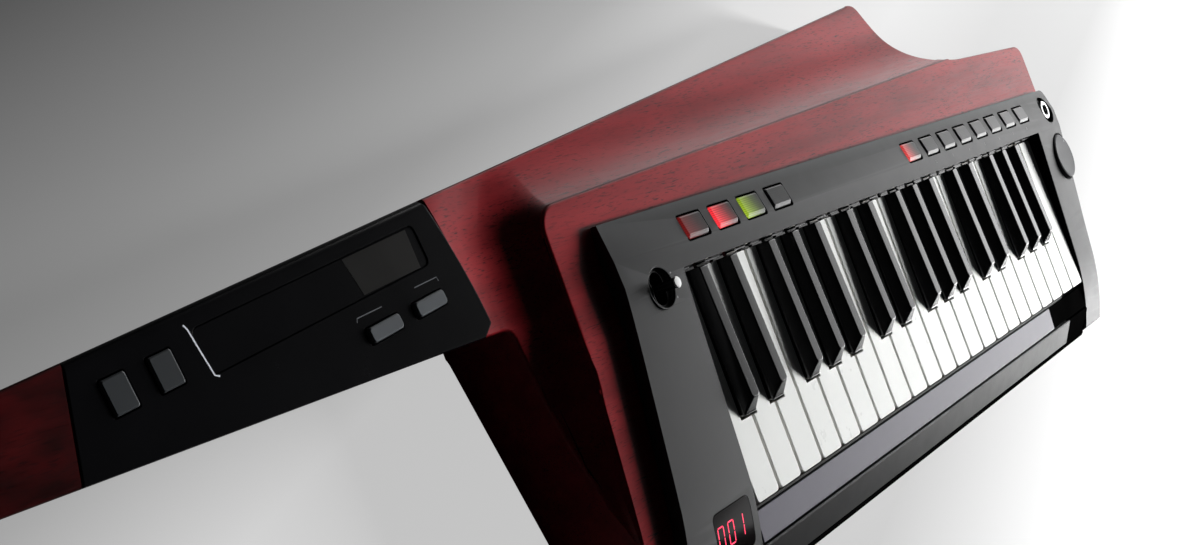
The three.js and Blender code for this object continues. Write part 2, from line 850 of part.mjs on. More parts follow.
function keyChassis() {
  const low = -pocketFloor + fitGap;
  const left = -pocketSide + fitGap;
  const right = keybedWidth + pocketSide - fitGap;
  const plate = block(left, right, fitGap - pocketFront, pocketRear - fitGap, low, low + chassisThickness);
  const beam = block(
    left,
    right,
    whiteLength + tailLength + fitGap,
    pocketRear - fitGap,
    low,
    -chassisBeamTop,
  );
  return plate.add(beam);
}

function backCover() {
  const left = -pocketSide + coverMargin;
  const right = keybedWidth + pocketSide - coverMargin;
  const rear = pocketRear - coverMargin;
  const low = -bodyThickness;
  const plate = raise(roundedRectangle(left, right, 0, rear, coverRadius), low, low + coverThickness, 0, 4);
  const door = (grow) => {
    const outline = roundedRectangle(
      left + batteryDoorInset - grow,
      left + batteryDoorInset + batteryDoorLength + grow,
      (rear - batteryDoorWidth) / 2 - grow,
      (rear + batteryDoorWidth) / 2 + grow,
      batteryDoorRadius + grow,
    );
    return raise(outline, low - fitGap, low + batteryDoorSlit, 0, 4);
  };
  return plate.subtract(door(batteryDoorSlit).subtract(door(0)));
}

// A strap pin standing on the plane z = 0: a flange, a waist and a head.
const strapPin = () =>
  turn(
    [
      [0, 0],
      [pinHeadRadius * 0.8, 0],
      [pinHeadRadius * 0.8, pinFlange],
      [pinNeckRadius, pinFlange * 2],
      [pinNeckRadius, pinLength - pinHead * 1.6],
      [pinHeadRadius, pinLength - pinHead],
      [pinHeadRadius, pinLength - pinHead * 0.3],
      [pinHeadRadius * 0.9, pinLength],
      [0, pinLength],
    ],
    0,
    0,
    20,
  );

// One pin stands out of the neck's underside at its end, the other out of the body's right side.
const neckStrapPin = () =>
  strapPin().rotate([180, 0, 0]).translate([neckPinInset - neckReach, neckPinRow, -neckUnderside - fitGap]);

function endStrapPin() {
  const run = panelOpeningRear + bodyFront - bodyCornerRadius;
  const flare = bodyRightRear - bodyRightFront;
  const share = (endPinRow + bodyFront - bodyCornerRadius) / run;
  const lean = THREE.MathUtils.radToDeg(Math.atan(flare / run));
  return strapPin()
    .translate([0, 0, fitGap])
    .rotate([0, 90, 0])
    .rotate([0, 0, -lean])
    .translate([bodyRightFront + flare * share, endPinRow, -endPinDrop]);
}

put("wood_body", woodBody(), "wood");
put("top_panel", topPanel(), "panel");
put("front_rail", frontRail(), "panel");
put("long_touch_strip", longTouchStrip(), "strip");
put("neck_panel", neckPanel(), "gloss");
put("short_touch_strip", shortTouchStrip(), "gloss");
put("display_window", displayWindow(), "lens");
put("key_chassis", keyChassis(), "dark");
put("back_cover", backCover(), "dark");
put("output_socket", outputSocket(), "steel");
put("neck_strap_pin", neckStrapPin(), "steel");
put("end_strap_pin", endStrapPin(), "steel");
put("volume_dial", volumeDial(), "dark");
put("sound_lever", soundLever(), "ebony");
for (let i = 0; i < whiteCount; i += 1) put(`white_key_${i + 1}`, whiteKey(i), "ivory");
blackKeys.forEach(({ middle }, i) => put(`black_key_${i + 1}`, blackKey(middle), "ebony"));
for (let i = 0; i < modeCapCount; i += 1) put(`mode_button_${i + 1}`, panelCap(modeCapPlace(i)), "cap");
put("memory_buttons", memoryButtons(), "cap");
neckCaps.forEach((cap) => put(cap.name, neckCap(cap), "cap"));

export default instrument;
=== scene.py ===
import math

import bpy
from mathutils import Matrix, Vector

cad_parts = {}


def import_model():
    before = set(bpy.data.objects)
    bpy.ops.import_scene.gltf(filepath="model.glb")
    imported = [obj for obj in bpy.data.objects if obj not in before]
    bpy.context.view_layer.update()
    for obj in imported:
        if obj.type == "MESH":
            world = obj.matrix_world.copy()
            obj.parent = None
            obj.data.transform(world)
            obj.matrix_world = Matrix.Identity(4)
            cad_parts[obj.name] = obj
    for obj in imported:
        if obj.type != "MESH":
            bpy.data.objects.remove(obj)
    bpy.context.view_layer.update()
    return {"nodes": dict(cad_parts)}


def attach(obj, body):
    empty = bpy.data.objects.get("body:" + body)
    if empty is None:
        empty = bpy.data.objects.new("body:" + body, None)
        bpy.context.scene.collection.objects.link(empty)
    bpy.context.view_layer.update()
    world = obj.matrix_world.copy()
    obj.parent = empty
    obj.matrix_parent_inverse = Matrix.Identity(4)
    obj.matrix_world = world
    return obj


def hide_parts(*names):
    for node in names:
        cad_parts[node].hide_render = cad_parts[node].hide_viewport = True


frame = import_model()

# Places are written in millimetres from the keyboard's corner,
# which is the front left corner of the lowest white key's top.
mm = 0.001
corner = Vector((-0.0903, -0.0925, 0.048))
up = Vector((0, 0, 1))
down = Vector((0, 0, -1))
# how far a cutter runs past what it cuts
past = 60


def keyPoint(x, y, z):
    return corner + Vector((x, y, z)) * mm


# making and shaping

def pick(piece):
    bpy.ops.object.select_all(action="DESELECT")
    piece.select_set(True)
    bpy.context.view_layer.objects.active = piece


def editing(piece, mode="EDGE"):
    pick(piece)
    bpy.ops.object.mode_set(mode="EDIT")
    bpy.ops.mesh.select_mode(type=mode)
    bpy.ops.mesh.select_all(action="DESELECT")


def objectMode():
    bpy.ops.object.mode_set(mode="OBJECT")


def skin(name, rings):
    # a closed shape over a row of rings: a grid is laid on them, joined along its seam and closed at both ends
    count = len(rings[0])
    bpy.ops.object.select_all(action="DESELECT")
    bpy.ops.mesh.primitive_grid_add(x_subdivisions=count, y_subdivisions=len(rings) - 1)
    piece = bpy.context.object
    piece.name = name
    for row, ring in enumerate(rings):
        for column in range(count + 1):
            piece.data.vertices[row * (count + 1) + column].co = ring[column % count]
    editing(piece, "VERT")
    bpy.ops.mesh.select_all(action="SELECT")
    bpy.ops.mesh.remove_doubles(threshold=0.000002)
    bpy.ops.mesh.select_all(action="DESELECT")
    bpy.ops.mesh.select_non_manifold(use_wire=False, use_multi_face=False, use_non_contiguous=False,
                                     use_verts=False)
    bpy.ops.mesh.fill_holes(sides=0)
    bpy.ops.mesh.select_all(action="SELECT")
    bpy.ops.mesh.normals_make_consistent(inside=False)
    objectMode()
    return piece


def prism(name, outline, low, high):
    return skin(name, [[keyPoint(x, y, low) for x, y in outline], [keyPoint(x, y, high) for x, y in outline]])


def relief(name, outline, height, low, high):
    # a plate that follows a sloping surface, whose height is a function of y
    rings = [[keyPoint(x, y, height(y) + z) for x, y in outline] for z in (low, high)]
    return skin(name, rings)


def barAlongX(name, section, start, end):
    return skin(name, [[keyPoint(start, y, z) for y, z in section], [keyPoint(end, y, z) for y, z in section]])


def barAlongY(name, section, start, end):
    return skin(name, [[keyPoint(x, start, z) for x, z in section], [keyPoint(x, end, z) for x, z in section]])


def block(name, x0, x1, y0, y1, z0, z1):
    return prism(name, [(x0, y0), (x1, y0), (x1, y1), (x0, y1)], z0, z1)


def turned(name, profile, x, y, steps=48, z=0.0, axis=up):
    # a profile of (radius, height) points turned round a line through a place, upright if no axis is given
    side = axis.orthogonal().normalized() if abs(axis.z) < 0.99 else Vector((1, 0, 0))
    across = axis.cross(side)
    rings = []
    for radius, height in profile:
        radius = max(radius, 0.00001)
        ring = []
        for i in range(steps):
            a = 2 * math.pi * i / steps
            point = axis * height + side * radius * math.cos(a) + across * radius * math.sin(a)
            ring.append(keyPoint(x, y, z) + point * mm)
        rings.append(ring)
    return skin(name, rings)


def well(name, radius, floor, place, steps):
    # a round cutter that stands on its floor
    return turned(name, [(0, floor), (radius, floor), (radius, past), (0, past)], *place, steps)


def bend(start, control, end, count):
    points = []
    for i in range(count + 1):
        t = i / count
        places = zip(start, control, end)
        points.append(tuple((1 - t) ** 2 * a + 2 * t * (1 - t) * b + t * t * c for a, b, c in places))
    return points


def softCorner(before, at, after, reach, count):
    ends = []
    for other in (before, after):
        share = reach / math.dist(at, other)
        ends.append(tuple(a + (b - a) * share for a, b in zip(at, other)))
    return bend(ends[0], at, ends[1], count)


def arc(x, y, radius, start, end, count):
    angles = [math.radians(start + (end - start) * i / count) for i in range(count + 1)]
    return [(x + radius * math.cos(a), y + radius * math.sin(a)) for a in angles]


def roundedBox(length, width, radius, count=5):
    points = []
    for turn, (sx, sy) in enumerate([(1, -1), (1, 1), (-1, 1), (-1, -1)]):
        start = -90 + turn * 90
        points += arc(sx * (length / 2 - radius), sy * (width / 2 - radius), radius, start, start + 90, count)
    return points


def moved(outline, x, y):
    return [(px + x, py + y) for px, py in outline]


def stroke(points, width):
    # the outline of a thin line through the points
    left, right = [], []
    for i, (x, y) in enumerate(points):
        before, after = Vector(points[max(i - 1, 0)]), Vector(points[min(i + 1, len(points) - 1)])
        along = (after - before).normalized()
        left.append((x - along.y * width / 2, y + along.x * width / 2))
        right.append((x + along.y * width / 2, y - along.x * width / 2))
    return left + right[::-1]


def carve(piece, cutter, operation="DIFFERENCE", solver="EXACT"):
    pick(piece)
    bpy.ops.object.modifier_add(type="BOOLEAN")
    modifier = piece.modifiers[-1]
    modifier.operation = operation
    modifier.solver = solver
    modifier.object = cutter
    bpy.ops.object.modifier_apply(modifier=modifier.name)
    bpy.data.objects.remove(cutter)


def tidyFaces(piece, angle=0.6):
    editing(piece, "VERT")
    bpy.ops.mesh.select_all(action="SELECT")
    bpy.ops.mesh.remove_doubles(threshold=0.00002)
    bpy.ops.mesh.dissolve_limited(angle_limit=math.radians(angle))
    objectMode()


def roundEdges(piece, width, segments=3, angle=50, clamp=True):
    pick(piece)
    bpy.ops.object.modifier_add(type="BEVEL")
    modifier = piece.modifiers[-1]
    modifier.width = width * mm
    modifier.segments = segments
    modifier.limit_method = "ANGLE"
    modifier.angle_limit = math.radians(angle)
    modifier.use_clamp_overlap = clamp
    modifier.miter_outer = "MITER_ARC"
    bpy.ops.object.modifier_apply(modifier=modifier.name)


def bevelWhere(piece, test, width, segments=3):
    # rounds the edges whose two ends pass the test, given in millimetres from the keyboard's corner
    editing(piece, "EDGE")
    objectMode()
    for edge in piece.data.edges:
        ends = [(piece.data.vertices[i].co - corner) / mm for i in edge.vertices]
        edge.select = test(*ends)
    bpy.ops.object.mode_set(mode="EDIT")
    bpy.ops.mesh.bevel(offset=width * mm, offset_type="OFFSET", segments=segments, profile=0.5, clamp_overlap=True)
    objectMode()


def smooth(piece, angle=32):
    pick(piece)
    bpy.ops.object.shade_smooth_by_angle(angle=math.radians(angle))
    bpy.ops.object.modifier_add(type="WEIGHTED_NORMAL")
    modifier = piece.modifiers[-1]
    modifier.keep_sharp = True
    modifier.weight = 100
    bpy.ops.object.modifier_apply(modifier=modifier.name)


def joined(name, pieces):
    pick(pieces[0])
    for piece in pieces[1:]:
        piece.select_set(True)
    if len(pieces) > 1:
        bpy.ops.object.join()
    pieces[0].name = name
    return pieces[0]


def shiftedCopy(piece, name, x):
    pick(piece)
    bpy.ops.object.duplicate()
    copy = bpy.context.object
    copy.name = name
    copy.data.transform(Matrix.Translation((x * mm, 0, 0)))
    return copy


def dress(piece, material, body="instrument", replaced=(), rounding=None, sharp=None):
    # rounding is what roundEdges takes, and edges bent by more than the sharp angle keep their crease
    if rounding:
        roundEdges(piece, *rounding)
    if sharp:
        smooth(piece, sharp)
    piece.data.materials.clear()
    piece.data.materials.append(material)
    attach(piece, body)
    if replaced:
        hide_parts(*replaced)
    return piece


# materials

class Shading:
    # one material's nodes, placed by the object's own coordinates

    def __init__(self, name):
        self.material = bpy.data.materials.new(name)
        self.material.use_nodes = True
        self.nodes, self.links = self.material.node_tree.nodes, self.material.node_tree.links
        self.shader = self.nodes["Principled BSDF"]
        self.place = self.add("TexCoord").outputs["Object"]

    def add(self, kind):
        return self.nodes.new("ShaderNode" + kind)

    def give(self, socket, value):
        # a constant stays on the socket, and a node's output is linked to it
        if isinstance(value, (int, float)):
            socket.default_value = value
        elif isinstance(value, tuple):
            socket.default_value = (*value, 1)
        else:
            self.links.new(value, socket)

    def look(self, values):
        for name, value in values.items():
            self.give(self.shader.inputs[name], value)

    def scaled(self, scale, turn=0.0, shift=(0, 0, 0)):
        node = self.add("Mapping")
        node.vector_type = "POINT"
        node.inputs["Scale"].default_value = scale
        node.inputs["Rotation"].default_value = (0, 0, turn)
        node.inputs["Location"].default_value = shift
        self.links.new(self.place, node.inputs["Vector"])
        return node.outputs["Vector"]

    def noise(self, scale, detail=2.0, rough=0.5, place=None):
        node = self.add("TexNoise")
        for name, value in (("Scale", scale), ("Detail", detail), ("Roughness", rough)):
            node.inputs[name].default_value = value
        self.links.new(self.place if place is None else place, node.inputs["Vector"])
        return node.outputs["Fac"]

    def ramp(self, value, stops):
        node = self.add("ValToRGB")
        while len(node.color_ramp.elements) < len(stops):
            node.color_ramp.elements.new(0.5)
        for element, (position, color) in zip(node.color_ramp.elements, stops):
            element.position = position
            element.color = (*color, 1) if isinstance(color, tuple) else (color, color, color, 1)
        self.links.new(value, node.inputs["Fac"])
        return node.outputs["Color"]

    def mix(self, share, a, b, blend="MIX"):
        node = self.add("Mix")
        node.data_type = "RGBA"
        node.blend_type = blend
        for socket, value in ((node.inputs[0], share), (node.inputs[6], a), (node.inputs[7], b)):
            self.give(socket, value)
        return node.outputs[2]

    def multiply(self, a, b):
        return self.mix(1.0, a, b, "MULTIPLY")

    def bump(self, height, depth, strength=1.0):
        node = self.add("Bump")
        node.inputs["Distance"].default_value = depth * mm
        node.inputs["Strength"].default_value = strength
        self.links.new(height, node.inputs["Height"])
        self.links.new(node.outputs["Normal"], self.shader.inputs["Normal"])

    def parts(self, place):
        node = self.add("SeparateXYZ")
        self.links.new(place, node.inputs["Vector"])
        return node.outputs

    def span(self, value, start, end):
        # 0 to 1 between two values
        node = self.add("MapRange")
        node.inputs["From Min"].default_value = start
        node.inputs["From Max"].default_value = end
        self.links.new(value, node.inputs["Value"])
        return node.outputs["Result"]

    def reckon(self, operation, a, b):
        node = self.add("Math")
        node.operation = operation
        self.give(node.inputs[0], a)
        self.give(node.inputs[1], b)
        return node.outputs["Value"]


# noise is given as scale, detail and roughness, and a ramp's stops as place and tone
surface = {
    "drift": (26, 3),
    "smudges": (90, 4, 0.6),
    "rubbedEdges": (0.54, 0.62),
    "coatRoughness": 0.08,
}


def plastic(name, color, roughness, grainSize=1400, grainDepth=0.02, spread=0.12, coat=0.0, metal=0.0, worn=0.0,
            shine=0.5):
    # moulded plastic or metal: a fine grain, slightly uneven gloss, a slow drift of its colour, paler rubbed edges
    m = Shading(name)
    darker = tuple(c * (1 - spread) for c in color)
    lighter = tuple(min(1, c * (1 + spread)) for c in color)
    tone = m.ramp(m.noise(*surface["drift"]), [(0.3, darker), (0.7, lighter)])
    if worn:
        low, high = surface["rubbedEdges"]
        edges = m.ramp(m.add("NewGeometry").outputs["Pointiness"], [(low, 0.0), (high, worn)])
        tone = m.mix(edges, tone, tuple(min(1, c * 2.2 + 0.03) for c in color))
    gloss = [(0.3, roughness * 0.95), (0.75, min(1, roughness * 1.06))]
    m.bump(m.noise(grainSize, 2), grainDepth)
    m.look({"Base Color": tone, "Roughness": m.ramp(m.noise(*surface["smudges"]), gloss), "Metallic": metal,
            "Specular IOR Level": shine, "Coat Weight": coat, "Coat Roughness": surface["coatRoughness"]})
    return m.material


woodFinish = {
    "grainTurn": math.radians(8),
    "figure": ((7, 55, 55), 5, 0.55),
    "fibres": ((40, 1100, 1100), 3, 0.6),
    "pores": ((190, 1700, 1700), 2, 0.5),
    "clumps": ((30, 90, 90), 2, 0.5),
    "mottle": ((60, 120, 120), 3, 0.5),
    "deep": (0.150, 0.0060, 0.0090),
    "mid": (0.240, 0.0130, 0.0180),
    "light": (0.310, 0.0220, 0.0270),
    "pore": (0.045, 0.0030, 0.0045),
    # painted shade: the head is darkened, standing in for the lamp's light falling off towards the head
    "headPaintedShade": (0.20, 0.12, 0.12),
    "headShadeFade": (-0.20, -0.34),
    "roughness": 0.40,
    "shine": 0.25,
    "relief": (0.04, 0.4),
}


def stainedWood():
    # stretched figure, fibres and clumps of pores under a red stain, blotchy at the head, where painted shade darkens
    # it as well
    m = Shading("stainedWood")
    f = woodFinish

    def grain(kind):
        scale, detail, rough = f[kind]
        return m.noise(1, detail, rough, m.scaled(scale, f["grainTurn"]))

    tone = m.ramp(grain("figure"), [(0.30, f["deep"]), (0.5, f["mid"]), (0.72, f["light"])])
    fibres = grain("fibres")
    fibreTone = m.ramp(fibres, [(0.3, 0.65), (0.7, 1.0)])
    tone = m.mix(0.5, tone, fibreTone, "MULTIPLY")
    mask = m.multiply(m.ramp(grain("pores"), [(0.56, 0.0), (0.66, 1.0)]),
                      m.ramp(grain("clumps"), [(0.38, 0.3), (0.62, 1.0)]))
    tone = m.mix(mask, tone, f["pore"])
    mottled = m.multiply(tone, m.ramp(grain("mottle"), [(0.35, 0.35), (0.65, 1.0)]))
    # towards the head the tone fades into painted shade over the blotchy figure
    headShadeShare = m.span(m.parts(m.place)["X"], *f["headShadeFade"])
    tone = m.mix(headShadeShare, tone, m.multiply(mottled, f["headPaintedShade"]))
    gloss = m.ramp(fibres, [(0.2, f["roughness"] * 0.85), (0.8, f["roughness"] * 1.2)])
    m.bump(m.mix(mask, fibreTone, (0.0, 0.0, 0.0)), *f["relief"])
    m.look({"Base Color": tone, "Roughness": gloss, "Specular IOR Level": f["shine"]})
    return m.material


ivoryFinish = {
    "low": (0.77, 0.785, 0.765),
    "high": (0.81, 0.82, 0.80),
    # painted shade: the greyer colour of the side walls stands in for the shade between the keys
    "wall": (0.60, 0.57, 0.51),
    "wallShadeFade": (-0.45, -1.4),
    "roughness": (0.27, 0.33),
    "grain": (900, 0.004),
    "coat": 0.2,
    "coatRoughness": 0.1,
}


def keyIvory():
    # the keys' tops are polished off-white, and their side walls below the top are greyer as painted shade
    m = Shading("keyIvory")
    f = ivoryFinish
    tone = m.ramp(m.noise(*surface["drift"]), [(0.3, f["low"]), (0.7, f["high"])])
    # painted shade grows down the keys' side walls
    start, end = [keyPoint(0, 0, z).z for z in f["wallShadeFade"]]
    tone = m.mix(m.span(m.parts(m.place)["Z"], start, end), tone, f["wall"])
    least, most = f["roughness"]
    gloss = m.ramp(m.noise(*surface["smudges"]), [(0.3, least), (0.75, most)])
    size, depth = f["grain"]
    m.bump(m.noise(size, 2), depth)
    m.look({"Base Color": tone, "Roughness": gloss, "Coat Weight": f["coat"], "Coat Roughness": f["coatRoughness"]})
    return m.material


capFinish = {
    "ribs": 330,
    "ribDepth": (0.03, 0.5),
    "cloud": (350, 2),
    "low": (0.018, 0.0182, 0.019),
    "high": (0.024, 0.0242, 0.025),
    "roughness": 0.32,
    "lightTurn": math.radians(-20),
    "lightFall": [(0.0, 1.0), (0.35, 0.5), (0.7, 0.12), (1.0, 0.0)],
}


def litCap(name, color=None, glow=0, start=(0, 0), reach=1):
    # a smoked cap with fine ribs: the light falls off from its start across the cap and shows between the ribs
    m = Shading(name)
    f = capFinish
    ribs = m.add("TexWave")
    ribs.wave_type = "BANDS"
    ribs.bands_direction = "Y"
    ribs.inputs["Scale"].default_value = f["ribs"]
    ribs.inputs["Distortion"].default_value = 0.0
    m.links.new(m.place, ribs.inputs["Vector"])
    tone = m.ramp(m.noise(*f["cloud"]), [(0.3, f["low"]), (0.7, f["high"])])
    if glow:
        turn, scale = f["lightTurn"], 1 / (reach * mm)
        ends = Matrix.Rotation(turn, 3, "Z") @ keyPoint(*start, 0)
        gradient = m.add("TexGradient")
        m.links.new(m.scaled((scale, scale, 0), turn, (-ends.x * scale, 0, 0)), gradient.inputs["Vector"])
        ribTone = m.ramp(ribs.outputs["Fac"], [(0.25, 0.6), (0.75, 1.0)])
        light = m.multiply(m.ramp(gradient.outputs["Fac"], f["lightFall"]), ribTone)
        m.look({"Emission Color": m.multiply(light, color), "Emission Strength": glow})
    m.look({"Base Color": tone, "Roughness": f["roughness"]})
    m.bump(ribs.outputs["Fac"], *f["ribDepth"])
    return m.material


def litInk(name, color, glow):
    # a display's segment: a slightly uneven glow
    m = Shading(name)
    light = m.ramp(m.noise(500, 2), [(0.3, tuple(c * 0.8 for c in color)), (0.7, color)])
    m.look({"Emission Color": light, "Emission Strength": glow, "Base Color": (0.05, 0.005, 0.01), "Roughness": 0.3})
    return m.material


print("materials")
wood = stainedWood()
ivory = keyIvory()
panelPlastic = plastic("panelPlastic", (0.008, 0.0082, 0.009), 0.42, 2600, 0.010, 0.08, worn=0.5)
railPlastic = plastic("railPlastic", (0.006, 0.006, 0.0065), 0.42, 2600, 0.010, 0.08, worn=0.5, shine=0.22)
glossBlack = plastic("glossBlack", (0.003, 0.003, 0.0035), 0.26, 300, 0.002, 0.2, shine=0.2)
keyEbony = plastic("keyEbony", (0.0035, 0.0035, 0.004), 0.20, 1200, 0.003, 0.2, 0.2, shine=0.7)
darkPlastic = plastic("darkPlastic", (0.010, 0.010, 0.011), 0.6, 1800, 0.03, 0.15, worn=0.3)
blackFelt = plastic("blackFelt", (0.002, 0.002, 0.002), 0.9, 1500, 0.05, 0.3, shine=0.0)
dialPlastic = plastic("dialPlastic", (0.050, 0.051, 0.054), 0.50, 2400, 0.015, 0.1, worn=0.3)
touchFilm = plastic("touchFilm", (0.100, 0.096, 0.120), 0.33, 1800, 0.002, 0.03, shine=0.35)
paleGreyPatch = plastic("paleGreyPatch", (0.011, 0.0105, 0.010), 0.30, 2000, 0.003, 0.10)
greyCap = plastic("greyCap", (0.085, 0.092, 0.100), 0.45, 2400, 0.012, 0.10)
dimCap = plastic("dimCap", (0.030, 0.033, 0.036), 0.45, 2400, 0.012, 0.10)
tabBlack = plastic("tabBlack", (0.045, 0.045, 0.047), 0.30, 2000, 0.01, 0.10, shine=0.9)
chrome = plastic("chrome", (0.78, 0.78, 0.79), 0.14, 500, 0.002, 0.03, 0.0, 1.0)
leverWhite = plastic("leverWhite", (0.86, 0.86, 0.85), 0.4, 1500, 0.01, 0.03)
lens = plastic("lens", (0.003, 0.002, 0.002), 0.10, 300, 0.002, 0.2, shine=0.2)
printInk = plastic("printInk", (0.22, 0.225, 0.23), 0.5, 2500, 0.01, 0.08)
neckInk = plastic("neckInk", (0.10, 0.105, 0.115), 0.5, 2500, 0.01, 0.08)
# the pale colour of a painted highlight, used for the glint at the touch recess's end
paintedGlint = plastic("paintedGlint", (0.70, 0.74, 0.80), 0.4, 2500, 0.01, 0.05)
digitGlow = litInk("digitGlow", (1.0, 0.03, 0.10), 2.2)

# the keyboard panel's sizes, which the body's field and wells follow too

panel = {
    "rear": 131,
    "fold": 115,
    "rearTop": 3.4,
    "foldTop": 7,
    "opening": (-1.2, 458.8),
    "openingRear": 103.7,
    "openingCorner": 1.5,
    "cheekTop": 7.5,
    "cheekSlope": 0.0625,
    "cheekBend": 16.5,
    "cheekBendRate": 278,
    "aboveField": 6.5,
    "bodyGap": 0.3,
    "tailRoom": ((102.5, 125.2), 2.6),
    "frontLip": 32,
    "lipHeight": 2.4,
    "lipBottom": -18,
    "blankEnds": (-120, 560),
    "frontLeft": -61,
    "rightCurve": [(490.5, 16.5), (497, 50)],
    "rightRear": [(504.4, 103.7), (506, 116)],
    "rearCorner": [(506, 126), (506, 131), (501, 131)],
    "leftRear": [(-43, 131), (-45, 115), (-45, 103.7)],
    "leftBend": [(-45, 103.0), (-45, 92), (-50, 50)],
    "leftCurve": [(-50, 50), (-53.5, 16.5)],
    "edgeRounding": 0.55,
    "cap": (17.4, 10.4),
    "capCorner": 1.1,
    "capSlit": 1.05,
    "capRow": 119,
    "modeCaps": [20.3 + 25.8 * i for i in range(4)],
    "memoryCaps": [258 + 26.35 * i for i in range(8)],
    "leverPlace": (-19.6, 99),
    "dishPlace": (-20.8, 99),
    "leverDish": 8.8,
    "dishDepth": 2.2,
    "leverBore": (7, -5.5),
    "collar": (4.3, 2.8, 0.5),
    "dialPlace": (492, 82.6),
    "dialHole": 16.6,
    "dialFloor": -7,
    "socketPlace": (491.5, 116.7),
    "socketWell": (9.8, 2),
    "socketHole": (6.7, -20),
    "window": (-35.4, -6.2, -14, 6.8),
    "windowCorner": 3,
    "windowDepth": 1.4,
    "windowRoom": 7.5,
    "dots": [(-11.6, 103.4), (-11.8, 93.1)],
    "dotRadius": 0.5,
}
panelFall = (panel["foldTop"] - panel["rearTop"]) / (panel["rear"] - panel["fold"])

# the carved wooden body

body = {
    "thickness": 48,
    "front": 30,
    "rightRear": 506,
    "rightFront": 490,
    "shoulder": 165.5,
    "leftFront": 67,
    "leftRear": 96,
    "cornerRadius": 10,
    "neckEnd": 326.7,
    "neckFront": 105,
    "neckRearAtEnd": 132.4,
    "neckUnderside": 36,
    "neckRounding": 5,
    "neckFillet": 10,
    "headSlant": 7,
    "headCorner": 3.5,
    "jointFillet": 6,
    "neckSlope": 0.13,
    "hornTip": (285.5, 212.0),
    "hornSide": (290.5, 208.1),
    "hornRear": 279,
    "cutaway": [(311, 191.6), (343.5, 165.5), (397.5, 165.5)],
    "rimRounding": 1.3,
    "fieldLeft": 71,
    "fieldRearAtLeft": 144.2,
    "fieldSlope": 21.3 / 411,
    "fieldCorner": 12,
    "fieldRounding": 1.5,
    "coveWidth": 27,
    "coveDepth": 10.5,
    "coveRise": 2.5,
    "coveReach": 53,
    "coveOuter": 300,
    "coveDeepens": [(-260, 1.6), (45, 1.55), (75, 1.4), (92, 1.18), (104, 1.0)],
    "coveLength": 560,
    "coveShape": 0.35,
    "coveStrips": 10,
    "cutterEnds": (-420, 620),
    "undercutRows": (60, 260),
    "frontCut": (-42, 87.65),
    "railNotch": (0.5, -19.9),
    "pocket": (-13, 470.6, -0.9, 129.6, -21),
    "neckSeat": -13.3,
    "coverSeat": (460.2, 118.2, 5),
    "coverSeatHeight": -44.7,
    "neckRimEnd": -105.8,
}


def neckRear(x):
    return body["neckRearAtEnd"] + body["neckSlope"] * (x + body["neckEnd"])


def cheekHeight(y):
    # the panel's cheeks slope gently down towards the player, then bend
    p = panel
    fall = p["cheekSlope"] * (p["openingRear"] - y)
    return p["cheekTop"] - fall - max(0, p["cheekBend"] - y) ** 2 / p["cheekBendRate"]


def fieldHeight(y):
    return min(0, cheekHeight(y) - panel["aboveField"])


def rearFaceHeight(y):
    return panel["foldTop"] - panelFall * (y - panel["fold"])


def bridgeHeight(y):
    # the panel's top at any row: the sloping rear face, the flat part before it and the cheeks
    p = panel
    if y > p["fold"]:
        return rearFaceHeight(y)
    if y > p["openingRear"]:
        rise = p["cheekTop"] - p["foldTop"]
        return p["foldTop"] + rise * (p["fold"] - y) / (p["fold"] - p["openingRear"])
    return cheekHeight(y)


def steps(start, end, count):
    return [start + (end - start) * i / count for i in range(count + 1)]


def bodyOutline():
    b = body
    r = b["cornerRadius"]
    right, rear = b["rightFront"], b["rightRear"]
    headLeft = (b["headSlant"] - b["neckEnd"], neckRear(b["headSlant"] - b["neckEnd"]))
    headFront = (-b["neckEnd"], b["neckFront"])
    joint = (-b["leftRear"], b["neckFront"])
    leftFront = (-b["leftFront"], -b["front"])
    points = bend((right - r, -b["front"]), (right, -b["front"]), (right, -b["front"] + r), 6)
    points += [(rear, panel["openingRear"])]
    points += bend((rear, b["shoulder"] - r), (rear, b["shoulder"]), (rear - r, b["shoulder"]), 6)
    points += bend(*reversed(b["cutaway"]), 18)
    points += bend(b["hornSide"], b["hornTip"], (b["hornRear"], neckRear(b["hornRear"])), 8)
    points += softCorner((0, neckRear(0)), headLeft, headFront, b["headCorner"], 5)
    points += softCorner(headLeft, headFront, joint, b["headCorner"], 5)
    points += softCorner(headFront, joint, leftFront, b["jointFillet"], 8)
    points += softCorner(joint, leftFront, (right, -b["front"]), r, 6)
    return points


def neckUndercut():
    # the neck is thinner than the body, and a hollow leads from one to the other
    b = body
    deep, r, x = -b["neckUnderside"], b["neckFillet"], -b["leftRear"]
    end, low = b["cutterEnds"][0], -70
    section = [(end, low), (x, low)] + bend((x, deep - r), (x, deep), (x - r, deep), 8) + [(end, deep)]
    return barAlongY("neckUndercut", section, *b["undercutRows"])


